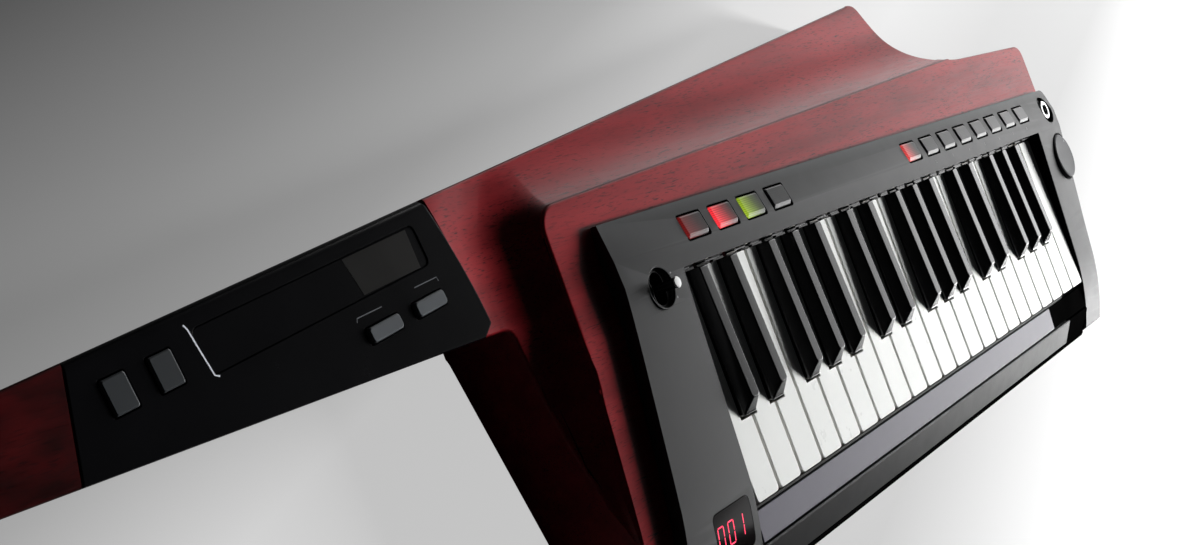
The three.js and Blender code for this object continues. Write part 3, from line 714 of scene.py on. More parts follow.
def coveCutter():
    # the cove's section, with the rounded edge of the field, swept round the field's left and rear edges
    b = body
    r = b["fieldRounding"]
    section = [(-r, past), (-r, 0)]
    for i in range(1, 6):
        a = math.pi / 2 * i / 5
        section.append((-r + r * math.sin(a), -r + r * math.cos(a)))
    strips, shape = b["coveStrips"], b["coveShape"]
    for i in range(1, strips + 1):
        a = math.pi / 2 * i / strips
        reach = shape * (1 - math.cos(a)) + (1 - shape) * i / strips
        section.append((b["coveWidth"] * reach, -r - (b["coveDepth"] - r) * math.sin(a)))
    out, rise = b["coveReach"] - b["coveWidth"], b["coveRise"]
    for i in range(1, 7):
        t = i / 6
        section.append((b["coveWidth"] + out * t, -b["coveDepth"] + rise * t * t * (3 - 2 * t)))
    outerHeight = rise - b["coveDepth"] + 0.01
    section[-1] = (section[-1][0], outerHeight)
    section += [(b["coveOuter"], outerHeight), (b["coveOuter"], past)]
    slope = b["fieldSlope"]
    along = Vector((1, slope)).normalized()
    outward = Vector((-along.y, along.x))
    radius = b["fieldCorner"]
    centre = Vector((-b["fieldLeft"] + radius, b["fieldRearAtLeft"] + slope * radius - radius / along.x))
    stations = [((-b["fieldLeft"], y), (-1, 0), deeper) for y, deeper in b["coveDeepens"]]
    for i in range(0, 19):
        a = math.pi - (math.pi - math.atan2(outward.y, outward.x)) * i / 18
        direction = (math.cos(a), math.sin(a))
        stations.append(((centre.x + radius * direction[0], centre.y + radius * direction[1]), direction, 1.0))
    last = centre + outward * radius + along * b["coveLength"]
    stations.append(((last.x, last.y), tuple(outward), 1.0))

    def depth(z, deeper):
        return z if z > -r else -r + (z + r) * deeper

    rings = [[keyPoint(px + dx * away, py + dy * away, depth(z, deeper)) for away, z in section]
             for (px, py), (dx, dy), deeper in stations]
    return skin("coveCutter", rings)


def frontCutter():
    front, rear = body["frontCut"]
    curve = [(y, fieldHeight(y)) for y in steps(front, rear, 30)]
    return barAlongX("frontCutter", curve + [(rear, past), (front, past)], *body["cutterEnds"])


neckPlate = {
    "right": -107.4,
    "rearRight": -120,
    "rearLeft": -276.8,
    "slant": 7,
    "edge": 1.4,
}


def neckPanelOutline(grow):
    n = neckPlate
    front = body["neckFront"] - grow
    right, rearRight, rearLeft = n["right"] + grow, n["rearRight"] + grow, n["rearLeft"] - grow
    edge = n["edge"]
    middle = (front + neckRear(rearRight)) / 2
    points = [(rearLeft - n["slant"], front), (right - edge * 4, front)]
    points += bend((right, front + edge * 3), (right - edge * 2, middle), (rearRight, neckRear(rearRight) + grow), 12)
    return points + [(rearLeft, neckRear(rearLeft) + grow)]


cover = {
    "middle": (228.8, 58.8),
    "size": (459.6, 117.6),
    "radius": 5,
    "inner": -45,
    "door": (134.0, 58.8, 150, 64, 4),
    "slit": 0.8,
    "slitFloor": -47.2,
    "notch": (134.0, 84.5, 26, 9),
    "notchRings": [(1.0, -49), (1.0, -48), (0.86, -47.1), (0.6, -46.7)],
    "screws": [(x, y) for x in (8, 449.6, 228.8, 340, 117) for y in (8, 109.6)],
    "bore": [(0, -49), (4.2, -49), (4.2, -48), (3.6, -47.4), (3.6, -46.2), (0, -46.2)],
    "screw": [(0, -46.1), (3.1, -46.1), (3.2, -46.6), (2.9, -47.1), (2.0, -47.5), (0, -47.6)],
}


def woodenBody():
    print("wooden body")
    b, p = body, panel
    piece = prism("woodBody", bodyOutline(), -b["thickness"], 0)
    rear, low = b["railNotch"]
    for cutter in (coveCutter(), frontCutter(), neckUndercut(),
                   block("railNotch", *p["opening"], -past, rear, low, past)):
        carve(piece, cutter)
    tidyFaces(piece, 1.5)
    low = -b["neckUnderside"]

    def underNeck(point):
        return abs(point.z - low) < 0.1 and point.x < b["neckRimEnd"]

    bevelWhere(piece, lambda *ends: all(underNeck(end) for end in ends), b["neckRounding"], 6)
    roundEdges(piece, b["rimRounding"], 4, 55, False)
    seat = moved(roundedBox(*b["coverSeat"]), *cover["middle"])
    for cutter in (prism("panelSeat", neckPanelOutline(p["bodyGap"]), b["neckSeat"], 5),
                   prism("coverSeat", seat, -past, b["coverSeatHeight"]),
                   well("dialWell", p["dialHole"], p["dialFloor"], p["dialPlace"], 64),
                   well("leverWell", *p["leverBore"], p["dishPlace"], 48),
                   block("pocket", *b["pocket"], past)):
        carve(piece, cutter, "DIFFERENCE", "MANIFOLD")
    return dress(piece, wood, replaced=["wood_body"], sharp=38)


woodenBody()

# the keyboard panel

def panelOutline():
    p = panel
    start = (p["frontLeft"], -p["frontLip"])
    rightFront = (p["rightCurve"][0][0], -p["frontLip"])
    points = [start] + bend(rightFront, *p["rightCurve"], 12)
    points += p["rightRear"] + bend(*p["rearCorner"], 6) + p["leftRear"]
    points += bend(*p["leftBend"], 10)[1:-1]
    return points + bend(*p["leftCurve"], start, 10)[:-1]


def collarOutline(radius):
    # two circles that overlap, one before the other
    half = panel["collar"][1]
    cut = math.degrees(math.asin(half / radius))
    x, y = panel["dishPlace"]
    return arc(x, y + half, radius, -cut, 180 + cut, 24) + arc(x, y - half, radius, 180 - cut, 360 + cut, 24)[1:-1]


def topPanel():
    print("keyboard panel")
    p = panel
    gap, front, lip, low = p["bodyGap"], -body["front"], -p["frontLip"], p["lipBottom"]
    woodLine = [(y, fieldHeight(y) + gap) for y in steps(front + 0.1, p["openingRear"], 12)]
    cheeks = [(y, cheekHeight(y)) for y in steps(p["openingRear"], lip + 1.5, 30)]
    section = woodLine + [(p["rear"], gap), (p["rear"], p["rearTop"]), (p["fold"], p["foldTop"])] + cheeks
    section += [(lip, cheekHeight(lip) - p["lipHeight"]), (lip, low), (front - gap, low),
                (front - gap, fieldHeight(front) + gap)]
    piece = barAlongX("topPanel", section, *p["blankEnds"])
    carve(piece, prism("panelColumn", panelOutline(), -past, past), "INTERSECT")
    left, right = p["opening"]
    rear, corner = p["openingRear"], p["openingCorner"]
    opening = [(left, 2 * -past), (right, 2 * -past)]
    opening += bend((right, rear - corner), (right, rear), (right - corner, rear), 3)
    opening += bend((left + corner, rear), (left, rear), (left, rear - corner), 3)
    carve(piece, prism("keyOpening", opening, -past, past))
    carve(piece, block("tails", left, right, *p["tailRoom"][0], -past, p["tailRoom"][1]))
    slit = 2 * p["capSlit"]
    capHole = roundedBox(p["cap"][0] + slit, p["cap"][1] + slit, 1.3)
    holes = [prism("capHole", moved(capHole, x, p["capRow"]), -10, past) for x in p["modeCaps"] + p["memoryCaps"]]
    holes.append(well("socketWell", *p["socketWell"], p["socketPlace"], 56))
    holes.append(well("dialHole", p["dialHole"], -past, p["dialPlace"], 72))
    floor = cheekHeight(p["dishPlace"][1]) - p["dishDepth"]
    dish = p["leverDish"]
    bowl = [(0, floor), (dish - 1.4, floor), (dish - 0.4, floor + 0.5), (dish, floor + 1.4), (dish, past),
            (0, past)]
    holes.append(turned("leverDish", bowl, *p["dishPlace"], 56))
    for cutter in (joined("panelHoles", holes), well("socketHole", *p["socketHole"], p["socketPlace"], 40),
                   prism("leverSlot", collarOutline(p["collar"][0]), -past, past),
                   windowShape("windowSeat", gap, p["windowRoom"])):
        carve(piece, cutter)
    tidyFaces(piece, 0.01)
    return dress(piece, panelPlastic, replaced=["top_panel"],
                 rounding=(p["edgeRounding"], 3, 45), sharp=12)


def windowShape(name, grow, above):
    # a strip that follows the left cheek, with rounded corners
    left, right, front, rear = panel["window"]
    left, right, front, rear = left - grow, right + grow, front - grow, rear + grow
    rows = steps(front, rear, 14)
    depth, radius = panel["windowDepth"] + grow, panel["windowCorner"] + grow
    section = [(y, cheekHeight(y) + above) for y in rows] + [(y, cheekHeight(y) - depth) for y in reversed(rows)]
    piece = barAlongX(name, section, left, right)
    outline = moved(roundedBox(right - left, rear - front, radius), (left + right) / 2, (front + rear) / 2)
    carve(piece, prism("windowColumn", outline, -past, past), "INTERSECT")
    return piece


display = {
    "places": [-33.9, -25.9, -18.1],
    "width": 4.3,
    "rear": 1.0,
    "height": 9.0,
    "bar": 0.55,
    "gap": 0.15,
    "lean": 0.05,
    "proud": 0.03,
    "segments": {"0": "abcdef", "1": "bc"},
    "number": "001",
}


def digitSegments(x, figure):
    # the bars of one figure, from the bar at its top (a) clockwise to the bar in its middle (g)
    d = display
    half = d["height"] / 2
    w, t, g = d["width"], d["bar"], d["gap"]
    rows = {"a": (0, w, 2 * half), "d": (0, w, 0), "g": (0, w, half)}
    columns = {"b": (w, half, 2 * half), "c": (w, 0, half), "e": (0, 0, half), "f": (0, half, 2 * half)}
    bars = []
    for name in d["segments"][figure]:
        if name in rows:
            start, end, v = rows[name]
            near, far = start + g, end - g
            bars.append([(near + t / 2, v - t / 2), (far - t / 2, v - t / 2), (far, v), (far - t / 2, v + t / 2),
                         (near + t / 2, v + t / 2), (near, v)])
        else:
            u, start, end = columns[name]
            near, far = start + g, end - g
            bars.append([(u, near), (u + t / 2, near + t / 2), (u + t / 2, far - t / 2), (u, far),
                         (u - t / 2, far - t / 2), (u - t / 2, near + t / 2)])
    base = d["rear"] - d["height"]
    return [[(x + u + v * d["lean"], base + v) for u, v in bar] for bar in bars]


def displayWindow():
    print("display")
    glass = windowShape("displayWindow", 0, 0)
    roundEdges(glass, 0.35, 2, 45)
    dress(glass, lens, replaced=["display_window"], sharp=20)
    bars = [relief("bar", outline, cheekHeight, -0.2, display["proud"])
            for x, figure in zip(display["places"], display["number"]) for outline in digitSegments(x, figure)]
    dress(joined("displayDigits", bars), digitGlow)


topPanel()
displayWindow()

# keys

keys = {
    "count": 22,
    "pitch": 20.8,
    "length": 101.4,
    "gap": 1.7,
    "edgeRounding": 0.5,
    "cornerRadius": 2.2,
    "blackShares": {0: -0.155, 1: 0.09, 3: -0.185, 4: -0.045, 5: 0.105},
    "blackFront": 35.2,
    "blackWidth": 11,
    "blackTop": 6.6,
    "blackHeight": 7.4,
    "blackRake": 6.5,
    "blackFall": 2.4 / 66.2,
    "blackRounding": 0.55,
    "blackCorner": 2.0,
    "step": (1.6, 1.8, 0.8),
    "tab": (102.35, 103.2, -2.8, 2.3),
    "tabReach": 6.4,
    "tabInset": 1.5,
    "low": -8,
    "tail": (95, 126.9, -7.5, -3),
    "tailInset": 0.9,
    "notchGap": 1.1,
    "gapShadeStrip": (-1.0, 458.6, 104.2, 106, -2.7, 2.4),
}


def blackMiddle(left):
    # the middle of the black key that follows a white one, if there is one
    share = keys["blackShares"].get(left % 7)
    inside = 0 <= left < keys["count"] - 1
    return (left + 1 + share) * keys["pitch"] if inside and share is not None else None


def whiteKeyShape(i, name):
    k = keys
    low, high = i * k["pitch"] + k["gap"] / 2, (i + 1) * k["pitch"] - k["gap"] / 2
    before, after = blackMiddle(i - 1), blackMiddle(i)
    notch, reach = k["blackFront"] - k["notchGap"], k["blackWidth"] / 2 + k["notchGap"]
    narrowLow = before + reach if before else low
    narrowHigh = after - reach if after else high
    r = k["cornerRadius"]
    outline = bend((low, r), (low, 0), (low + r, 0), 5) + bend((high - r, 0), (high, 0), (high, r), 5)
    if after:
        outline += [(high, notch), (narrowHigh, notch)]
    outline += [(narrowHigh, k["length"]), (narrowLow, k["length"])]
    if before:
        outline += [(narrowLow, notch), (low, notch)]
    piece = prism(name, outline, k["low"], 0)
    bevelWhere(piece, lambda p, q: min(p.z, q.z) > -0.01, k["edgeRounding"], 4)
    tail = block(name + "Tail", narrowLow + k["tailInset"], narrowHigh - k["tailInset"], *k["tail"])
    roundEdges(tail, 0.4, 2)
    joined(name, [piece, tail])
    smooth(piece, 40)
    tabLow = before + k["tabReach"] if before else low + k["tabInset"]
    tabHigh = after - k["tabReach"] if after else high - k["tabInset"]
    tab = block(name + "Tab", tabLow, tabHigh, *k["tab"])
    roundEdges(tab, 0.25, 2)
    smooth(tab, 40)
    return piece, tab


def whiteKeys():
    print("white keys")
    shapes = {}
    for i in range(keys["count"]):
        name = f"whiteKey{i + 1}"
        kind = (i % 7, i == keys["count"] - 1)
        if kind in shapes:
            first, sources = shapes[kind]
            piece, tab = [shiftedCopy(source, name + end, (i - first) * keys["pitch"])
                          for source, end in zip(sources, ("", "Tab"))]
        else:
            piece, tab = whiteKeyShape(i, name)
            shapes[kind] = (i, (piece, tab))
        dress(piece, ivory, f"white_key_{i + 1}", [f"white_key_{i + 1}"])
        dress(tab, tabBlack, f"white_key_{i + 1}")
    # painted shade: a black strip under the panel's rear edge, so the gap behind the keys' rear ends reads black
    dress(block("gapShadeStrip", *keys["gapShadeStrip"]), blackFelt)


def blackKeyShape(middle, name):
    # its sides and front lean in, a small step runs round the foot of its front, and it falls gently to the rear
    k = keys
    rear, height = k["length"], k["blackHeight"]
    base, lean = k["blackWidth"] / 2, (k["blackWidth"] - k["blackTop"]) / 2 / k["blackHeight"]
    foot = k["blackFront"]
    stepLow, stepHigh, stepIn = k["step"]
    levels = [(k["low"], foot, 1.0), (0, foot, 1.0), (stepLow, foot, 1.0), (stepHigh, foot + stepIn, 1.1),
              (height, foot + k["blackRake"], k["blackCorner"])]
    rings = []
    for z, front, radius in levels:
        half = base - lean * max(z, 0)
        left, right = middle - half, middle + half
        outline = bend((left, front + radius), (left, front), (left + radius, front), 6)
        outline += bend((right - radius, front), (right, front), (right, front + radius), 6)
        outline += [(right, rear), (left, rear)]
        fall = k["blackFall"] if z >= 0 else 0
        rings.append([keyPoint(x, y, z - fall * (y - foot)) for x, y in outline])
    piece = skin(name, rings)

    def onTop(p):
        return p.z > height - k["blackFall"] * (p.y - foot) - 0.05

    bevelWhere(piece, lambda p, q: onTop(p) and onTop(q), k["blackRounding"], 4)
    roundEdges(piece, 0.2, 2, 48)
    reach = base - k["tailInset"]
    tail = block(name + "Tail", middle - reach, middle + reach, *k["tail"])
    joined(name, [piece, tail])
    smooth(piece, 34)
    return piece


def blackKeyRow():
    print("black keys")
    middles = [blackMiddle(i) for i in range(keys["count"]) if blackMiddle(i)]
    first = blackKeyShape(middles[0], "blackKey1")
    pieces = [first] + [shiftedCopy(first, f"blackKey{n}", x - middles[0]) for n, x in enumerate(middles[1:], 2)]
    for n, piece in enumerate(pieces, 1):
        dress(piece, keyEbony, f"black_key_{n}", [f"black_key_{n}"])


whiteKeys()
blackKeyRow()

# the front rail and the long touch strip

rail = {
    "ends": (-0.9, 458.5),
    "rounding": 0.4,
    "section": [(-1.3, -19.6), (-1.3, -3.4), (-2.5, -3.4), (-2.5, -5.0), (-3.0, -5.0), (-3.0, -4.1), (-16.4, -4.8),
                (-16.4, -6.4), (-17.6, -6.4), (-17.6, -3.9), (-18.6, -3.9), (-31.6, -11.4), (-31.6, -19.6)],
    "foot": [(-31.5, -19.6), (-31.5, -11.9), (-32.7, -11.9), (-34.6, -13.4), (-35.2, -15.4), (-35.2, -19.6)],
    "strip": [(-3.0, -3.8), (-3.0, -2.5), (-16.4, -3.5), (-16.4, -4.5)],
    "blank": [(-3.0, -3.9), (-3.0, -2.8), (-16.4, -3.8), (-16.4, -4.6)],
    "stripEnd": 390,
    "blankEnds": (390.5, 458.2),
    "slopeEnd": 421,
    "joint": 0.1,
}
shadeLiner = {
    "rows": (-31, 104),
    "below": 0.25,
    "low": -8,
    "sides": (458.25, 458.7),
}


def frontRail():
    # its right end is matt black as painted shadow of the right cheek, and the blank beside the touch strip is matt
    # black
    print("front rail")
    r = rail
    start, end = r["ends"]
    dress(barAlongX("frontRail", r["section"], start, r["slopeEnd"]), railPlastic,
          replaced=["front_rail"], rounding=(r["rounding"], 3, 25), sharp=30)
    # painted shade: the rail's right end is matt black, standing in for the right cheek's shadow on it
    dress(barAlongX("railEndShade", r["section"], r["slopeEnd"] + r["joint"], end), blackFelt, sharp=30)
    dress(barAlongX("railFoot", r["foot"], start, end), blackFelt, rounding=(0.5, 3, 20), sharp=30)
    dress(barAlongX("longTouchStrip", r["strip"], 0, r["stripEnd"]), touchFilm,
          replaced=["long_touch_strip"], rounding=(0.35, 3, 30), sharp=30)
    dress(barAlongX("stripBlank", r["blank"], *r["blankEnds"]), blackFelt, rounding=(0.3, 3, 30), sharp=30)


def wellLiner():
    # a black lining on the wall beside the last key, as painted shade on the right cheek's inner wall and in the gap
    # beside the last key
    rows = steps(*shadeLiner["rows"], 30)
    section = [(y, cheekHeight(y) - shadeLiner["below"]) for y in rows]
    section += [(y, min(shadeLiner["low"], cheekHeight(y) - 1)) for y in reversed(rows)]
    dress(barAlongX("wellLiner", section, *shadeLiner["sides"]), blackFelt)


frontRail()
wellLiner()

# the lit buttons

caps = {
    "shoulder": 0.6,
    "frontDrop": 0.8,
    "sideSlope": 0.55,
    "frontSlope": 2.0,
    "proud": 0.7,
    "bottom": 0.6,
    "innerCorner": 0.8,
    "bezelGap": 0.3,
    "bezelCorner": 1.25,
    "bezelDepth": 3,
    "modeLights": [((1.0, 0.06, 0.06), 0.2), ((1.0, 0.04, 0.055), 1.4), ((0.55, 0.8, 0.05), 0.75), (None, 0)],
    "memoryLight": ((1.0, 0.10, 0.10), 1.0),
    "bezelDrop": 0.5,
    "numeralRow": 108.0,
    "numeralSize": 2.6,
    "numeralHeight": 0.02,
}


def panelCap(name, x):
    # its top follows the panel's slope, and its front edge has a broad bevel
    c = caps
    length, width = panel["cap"]
    row = panel["capRow"]
    side, front = c["sideSlope"], c["frontSlope"]
    base = moved(roundedBox(length, width, panel["capCorner"]), x, row)
    inner = moved(roundedBox(length - 2 * side, width - side - front, c["innerCorner"]), x,
                  row + (front - side) / 2)

    def top(y):
        return rearFaceHeight(y) + c["proud"]

    def shoulder(y):
        return top(y) - c["shoulder"] - c["frontDrop"] * (row + width / 2 - y) / width

    piece = skin(name, [[keyPoint(px, py, c["bottom"]) for px, py in base],
                        [keyPoint(px, py, shoulder(py)) for px, py in base],
                        [keyPoint(px, py, top(py)) for px, py in inner]])
    roundEdges(piece, 0.16, 2, 20)
    smooth(piece, 40)
    return piece


def capBezel(x):
    # a black ring between the cap and the panel, a little below the panel
    c = caps
    length, width = panel["cap"]
    grow, row = 2 * panel["capSlit"] - 0.1, panel["capRow"]
    outer = moved(roundedBox(length + grow, width + grow, c["bezelCorner"]), x, row)
    hole = moved(roundedBox(length + c["bezelGap"], width + c["bezelGap"], panel["capCorner"]), x, row)
    ring = relief("bezel", outer, rearFaceHeight, -c["bezelDepth"], -c["bezelDrop"])
    carve(ring, prism("bezelHole", hole, -20, 30))
    return ring


def buttons():
    print("lit buttons")
    c = caps
    length, width = panel["cap"]
    front = panel["capRow"] - width / 2
    for i, (x, light) in enumerate(zip(panel["modeCaps"], c["modeLights"]), 1):
        node = f"mode_button_{i}"
        material = litCap(f"modeCap{i}", *light, (x - length / 2, front), length)
        dress(panelCap(f"modeButton{i}", x), material, node, [node])
    plain = litCap("memoryCapPlain")
    for i, x in enumerate(panel["memoryCaps"]):
        piece = panelCap(f"memoryButton{i + 1}", x)
        material = plain
        if i == 0:
            material = litCap("memoryCapLit", *c["memoryLight"], (x - length / 2, front), length * 0.9)
        dress(piece, material, "memory_buttons", ["memory_buttons"] if i == 0 else ())
    dress(joined("capBezels", [capBezel(x) for x in panel["modeCaps"] + panel["memoryCaps"]]), blackFelt)


def printedNumeral(number, x):
    # a small printed figure: text made a mesh and laid on the panel
    y = caps["numeralRow"]
    bpy.ops.object.select_all(action="DESELECT")
    bpy.ops.object.text_add()
    text = bpy.context.object
    text.data.body = str(number)
    text.data.size = caps["numeralSize"]
    text.data.extrude = caps["numeralHeight"]
    text.data.resolution_u = 3
    text.data.align_x = "CENTER"
    bpy.ops.object.convert(target="MESH")
    piece = bpy.context.object
    for vertex in piece.data.vertices:
        px, py, pz = vertex.co
        vertex.co = keyPoint(x + px, y + py, bridgeHeight(y + py) + caps["numeralHeight"] + pz)
    return piece


def panelPrint():
    print("printed marks")
    figures = [printedNumeral(i, x - 1.5) for i, x in enumerate(panel["memoryCaps"], 1)]
    dots = [relief("dot", arc(x, y, panel["dotRadius"], 0, 330, 11), bridgeHeight, -0.2, 0.06)
            for x, y in panel["dots"]]
    dress(joined("panelMarks", figures + dots), printInk)


buttons()
panelPrint()

# the lever, the dial and the socket, all turned from profiles of (radius, height)

lever = {
    "stick": [(0, -4), (1.7, -4), (1.7, 1.2), (2.2, 2.2), (2.4, 3.6), (2.2, 5.0), (2.0, 6.2), (2.0, 8), (2.2, 13.2),
              (2.4, 13.8), (2.45, 14.2), (0, 14.2)],
    "tip": [(0, 14.1), (2.3, 14.1), (2.45, 14.25), (2.45, 14.6), (2.2, 14.9), (1.6, 15), (0, 15)],
    "cup": [(0, -5.4), (6.8, -5.4), (6.8, 1.1), (6.3, 1.1), (6.3, -4.9), (0, -4.9)],
    "rim": [(-0.35, 6.5), (0.2, 6.5), (0.45, 7.24), (0.35, 7.42), (0, 7.46), (-0.25, 7.3), (-0.35, 6.9),
            (-0.35, 6.5)],
    "collarHeights": (1.2, 0.6),
}
knob = {
    "radius": 15.3,
    "ridges": 48,
    "ridgeDepth": 0.010,
    "core": [(0, -16), (3, -16), (3, -6)],
    "edge": [(-0.4, -6), (0, -5.6), (0, 6.9), (-0.25, 7.5), (-0.9, 7.9), (-1.6, 8), (-2.4, 7.85)],
    "middle": [(0, 7.7)],
    "mark": [(0, 7.72), (0.9, 7.72), (0.9, 7.84), (0.7, 7.9), (0, 7.9)],
    "markPlace": (7.5, 9.5),
}
socket = {
    "barrel": [(3.3, -22), (6.0, -22), (6.0, 2.4), (6.4, 3.2), (6.4, 5.9), (6.1, 6.2), (4.4, 6.2), (3.7, 5.7),
               (3.3, 4.9), (3.3, -22)],
    "collar": [(6.0, 1.9), (9.6, 1.9), (9.6, 2.5), (9.2, 2.9), (7.0, 2.9), (6.5, 2.6), (6.1, 2.3), (6.0, 1.9)],
    "sleeve": [(2.6, -18), (3.3, -18), (3.3, 4.2), (3.1, 4.5), (2.8, 4.5), (2.6, 4.2), (2.6, -18)],
}


def soundLever():
    print("lever")
    place = panel["leverPlace"]
    dress(turned("soundLever", lever["stick"], *place, 40), keyEbony, "sound_lever", ["sound_lever"],
          sharp=35)
    dress(turned("leverTip", lever["tip"], *place, 40), leverWhite, "sound_lever", sharp=35)
    place = panel["dishPlace"]
    floor = cheekHeight(place[1]) - panel["dishDepth"]
    radius, _, wall = panel["collar"]
    low, above = lever["collarHeights"]
    collar = prism("leverCollar", collarOutline(radius + wall), low, floor + above)
    carve(collar, prism("collarHole", collarOutline(radius), -5, 20))
    dress(collar, panelPlastic, rounding=(0.15, 2, 50), sharp=35)
    dress(turned("leverCup", lever["cup"], *place, 40), blackFelt)
    rim = [(panel["leverDish"] + out, z) for out, z in lever["rim"]]
    dress(turned("dishRim", rim, *place, 64), panelPlastic, sharp=40)


def volumeDial():
    print("dial")
    x, y = panel["dialPlace"]
    rim, ridges = knob["radius"], knob["ridges"]
    profile = knob["core"] + [(rim + out, z) for out, z in knob["edge"]] + knob["middle"]
    dial = turned("volumeDial", profile, x, y, ridges * 4)
    middle = keyPoint(x, y, 0)
    for vertex in dial.data.vertices:
        flat = Vector((vertex.co.x - middle.x, vertex.co.y - middle.y))
        if flat.length > (rim - 0.1) * mm:
            flat *= 1 - knob["ridgeDepth"] * (0.5 + 0.5 * math.cos(ridges * math.atan2(flat.y, flat.x)))
            vertex.co.x, vertex.co.y = middle.x + flat.x, middle.y + flat.y
    dress(dial, dialPlastic, "volume_dial", ["volume_dial"], sharp=35)
    dx, dy = knob["markPlace"]
    dress(turned("dialMark", knob["mark"], x + dx, y + dy, 20), printInk, "volume_dial", sharp=35)


def outputSocket():
    print("socket")
    place = panel["socketPlace"]
    dress(turned("outputSocket", socket["barrel"], *place, 56), chrome,
          replaced=["output_socket"], sharp=35)
    dress(turned("socketCollar", socket["collar"], *place, 56), glossBlack, sharp=35)
    dress(turned("socketSleeve", socket["sleeve"], *place, 40), blackFelt, sharp=35)


soundLever()
volumeDial()
outputSocket()

# the neck's panel

neck = {
    "tilt": 0.132,
    "touchRow": 117.6,
    "touch": (128.1, 233.1),
    "touchWidth": 15.4,
    "touchDepth": 1.6,
    "ribbonRow": 97.6,
    "octaveCaps": {"octave_down_button": 263.5, "octave_up_button": 246.6},
    "octaveCap": (8.8, 11),
    "ribbonCaps": {"ribbon_pitch_button": 159.4, "ribbon_filter_button": 135},
    "ribbonCap": (16.2, 5.4),
    "top": -8,
    "bottom": -13,
    "rearRounding": 3.2,
    "rounding": 0.9,
    "touchCorner": 2.6,
    "touchGap": 0.6,
    "capBottom": -12.2,
    "capSlope": 1.1,
    "capProud": 0.8,
    "ribbonProud": 1.4,
    "lineWidth": 0.35,
    "glintWidth": 0.55,
    "brackets": [[(-170.2, 124.3), (-169.6, 125.7), (-157.1, 127.0)],
                 [(-139.2, 129.8), (-127.0, 131.1), (-126.6, 129.6)]],
    "recessGlint": [(-235.6, 139.4), (-234.6, 137.7), (-232.8, 130), (-231, 122.6), (-229.4, 121.9)],
    "greyPatchOutline": [(-166.6, 145.8), (-162.4, 132.4), (-132.4, 135.9), (-133.3, 150.1)],
}


def neckPlace(at, row, dx, dy):
    a = math.atan(neck["tilt"])
    x = -at + dx * math.cos(a) - dy * math.sin(a)
    y = row + neck["tilt"] * (body["neckEnd"] - at) + dx * math.sin(a) + dy * math.cos(a)
    return x, y


def onNeck(outline, at, row):
    return [neckPlace(at, row, dx, dy) for dx, dy in outline]


def neckPanel():
    print("neck panel")
    n = neck
    top = n["top"]
    piece = prism("neckPanel", neckPanelOutline(0), n["bottom"], top)

    def rearEdge(p):
        return p.z > top - 0.1 and p.y - neckRear(p.x) > -0.5

    bevelWhere(piece, lambda *ends: all(rearEdge(end) for end in ends), n["rearRounding"], 6)
    roundEdges(piece, n["rounding"], 3, 50)
    low, high = n["touch"]
    middle, length, width = (low + high) / 2, high - low, n["touchWidth"]
    pocket = onNeck(roundedBox(length, width, n["touchCorner"]), middle, n["touchRow"])
    carve(piece, prism("touchPocket", pocket, top - n["touchDepth"], 5))
    for places, (capLength, capWidth), row in ((n["octaveCaps"], n["octaveCap"], n["touchRow"]),
                                               (n["ribbonCaps"], n["ribbonCap"], n["ribbonRow"])):
        for at in places.values():
            carve(piece, prism("capHole", onNeck(roundedBox(capLength + 1, capWidth + 1, 1), at, row), -30, 5))
    dress(piece, glossBlack, replaced=["neck_panel"], rounding=(0.3, 2, 60), sharp=35)

    gap = n["touchGap"]
    touch = onNeck(roundedBox(length - gap, width - gap, n["touchCorner"] - gap / 2), middle, n["touchRow"])
    dress(prism("shortTouchStrip", touch, top - 1.3, top - 0.4), glossBlack,
          replaced=["short_touch_strip"], rounding=(0.15, 2, 60), sharp=35)
    # a thin dark grey patch, paler than the panel, laid at the right end of the touch recess
    dress(prism("recessGreyPatch", n["greyPatchOutline"], top - 0.45, top - 0.34), paleGreyPatch)
    lines = [prism("line", stroke(points, n["lineWidth"]), top - 0.3, top + 0.03) for points in n["brackets"]]
    dress(joined("neckLines", lines), neckInk)
    # a painted highlight: a pale line standing in for the light caught by the left end wall of the touch recess
    dress(prism("recessGlint", stroke(n["recessGlint"], n["glintWidth"]), top - 1.5, top + 0.04), paintedGlint)

    for name, at in n["octaveCaps"].items():
        capOnNeck(name, at, n["touchRow"], *n["octaveCap"], 0.8, n["capProud"], dimCap)
    for name, at in n["ribbonCaps"].items():
        capOnNeck(name, at, n["ribbonRow"], *n["ribbonCap"], 1.6, n["ribbonProud"], greyCap)


def capOnNeck(node, at, row, length, width, radius, proud, material):
    top, slope = neck["top"] + proud, neck["capSlope"]
    outer = onNeck(roundedBox(length, width, radius), at, row)
    inner = onNeck(roundedBox(length - slope, width - slope, radius * 0.6), at, row)
    words = node.split("_")
    piece = skin(words[0] + words[1].capitalize() + "Button",
                 [[keyPoint(x, y, neck["capBottom"]) for x, y in outer],
                  [keyPoint(x, y, top - 0.45) for x, y in outer],
                  [keyPoint(x, y, top) for x, y in inner]])
    dress(piece, material, node, [node], rounding=(0.12, 2, 20), sharp=40)


neckPanel()

# the back cover and the strap pins

pin = {
    "neckPlace": (-305, 119, -36),
    "endRow": 16,
    "endHeight": -26,
    "profile": [(0, 0.3), (5.4, 0.3), (5.6, 0.5), (5.6, 1.5), (5.2, 1.9), (4.4, 2.2), (3.8, 2.9), (3.6, 3.6),
                (3.6, 6.2), (3.9, 6.7), (6.6, 7.5), (7.0, 7.9), (7.0, 9.3), (6.7, 9.9), (6.2, 10.3), (3.2, 10.3),
                (2.9, 10.0), (2.4, 9.2), (0, 9.2)],
    "washer": [(0, 0.02), (6.4, 0.02), (6.4, 0.28), (0, 0.28)],
}


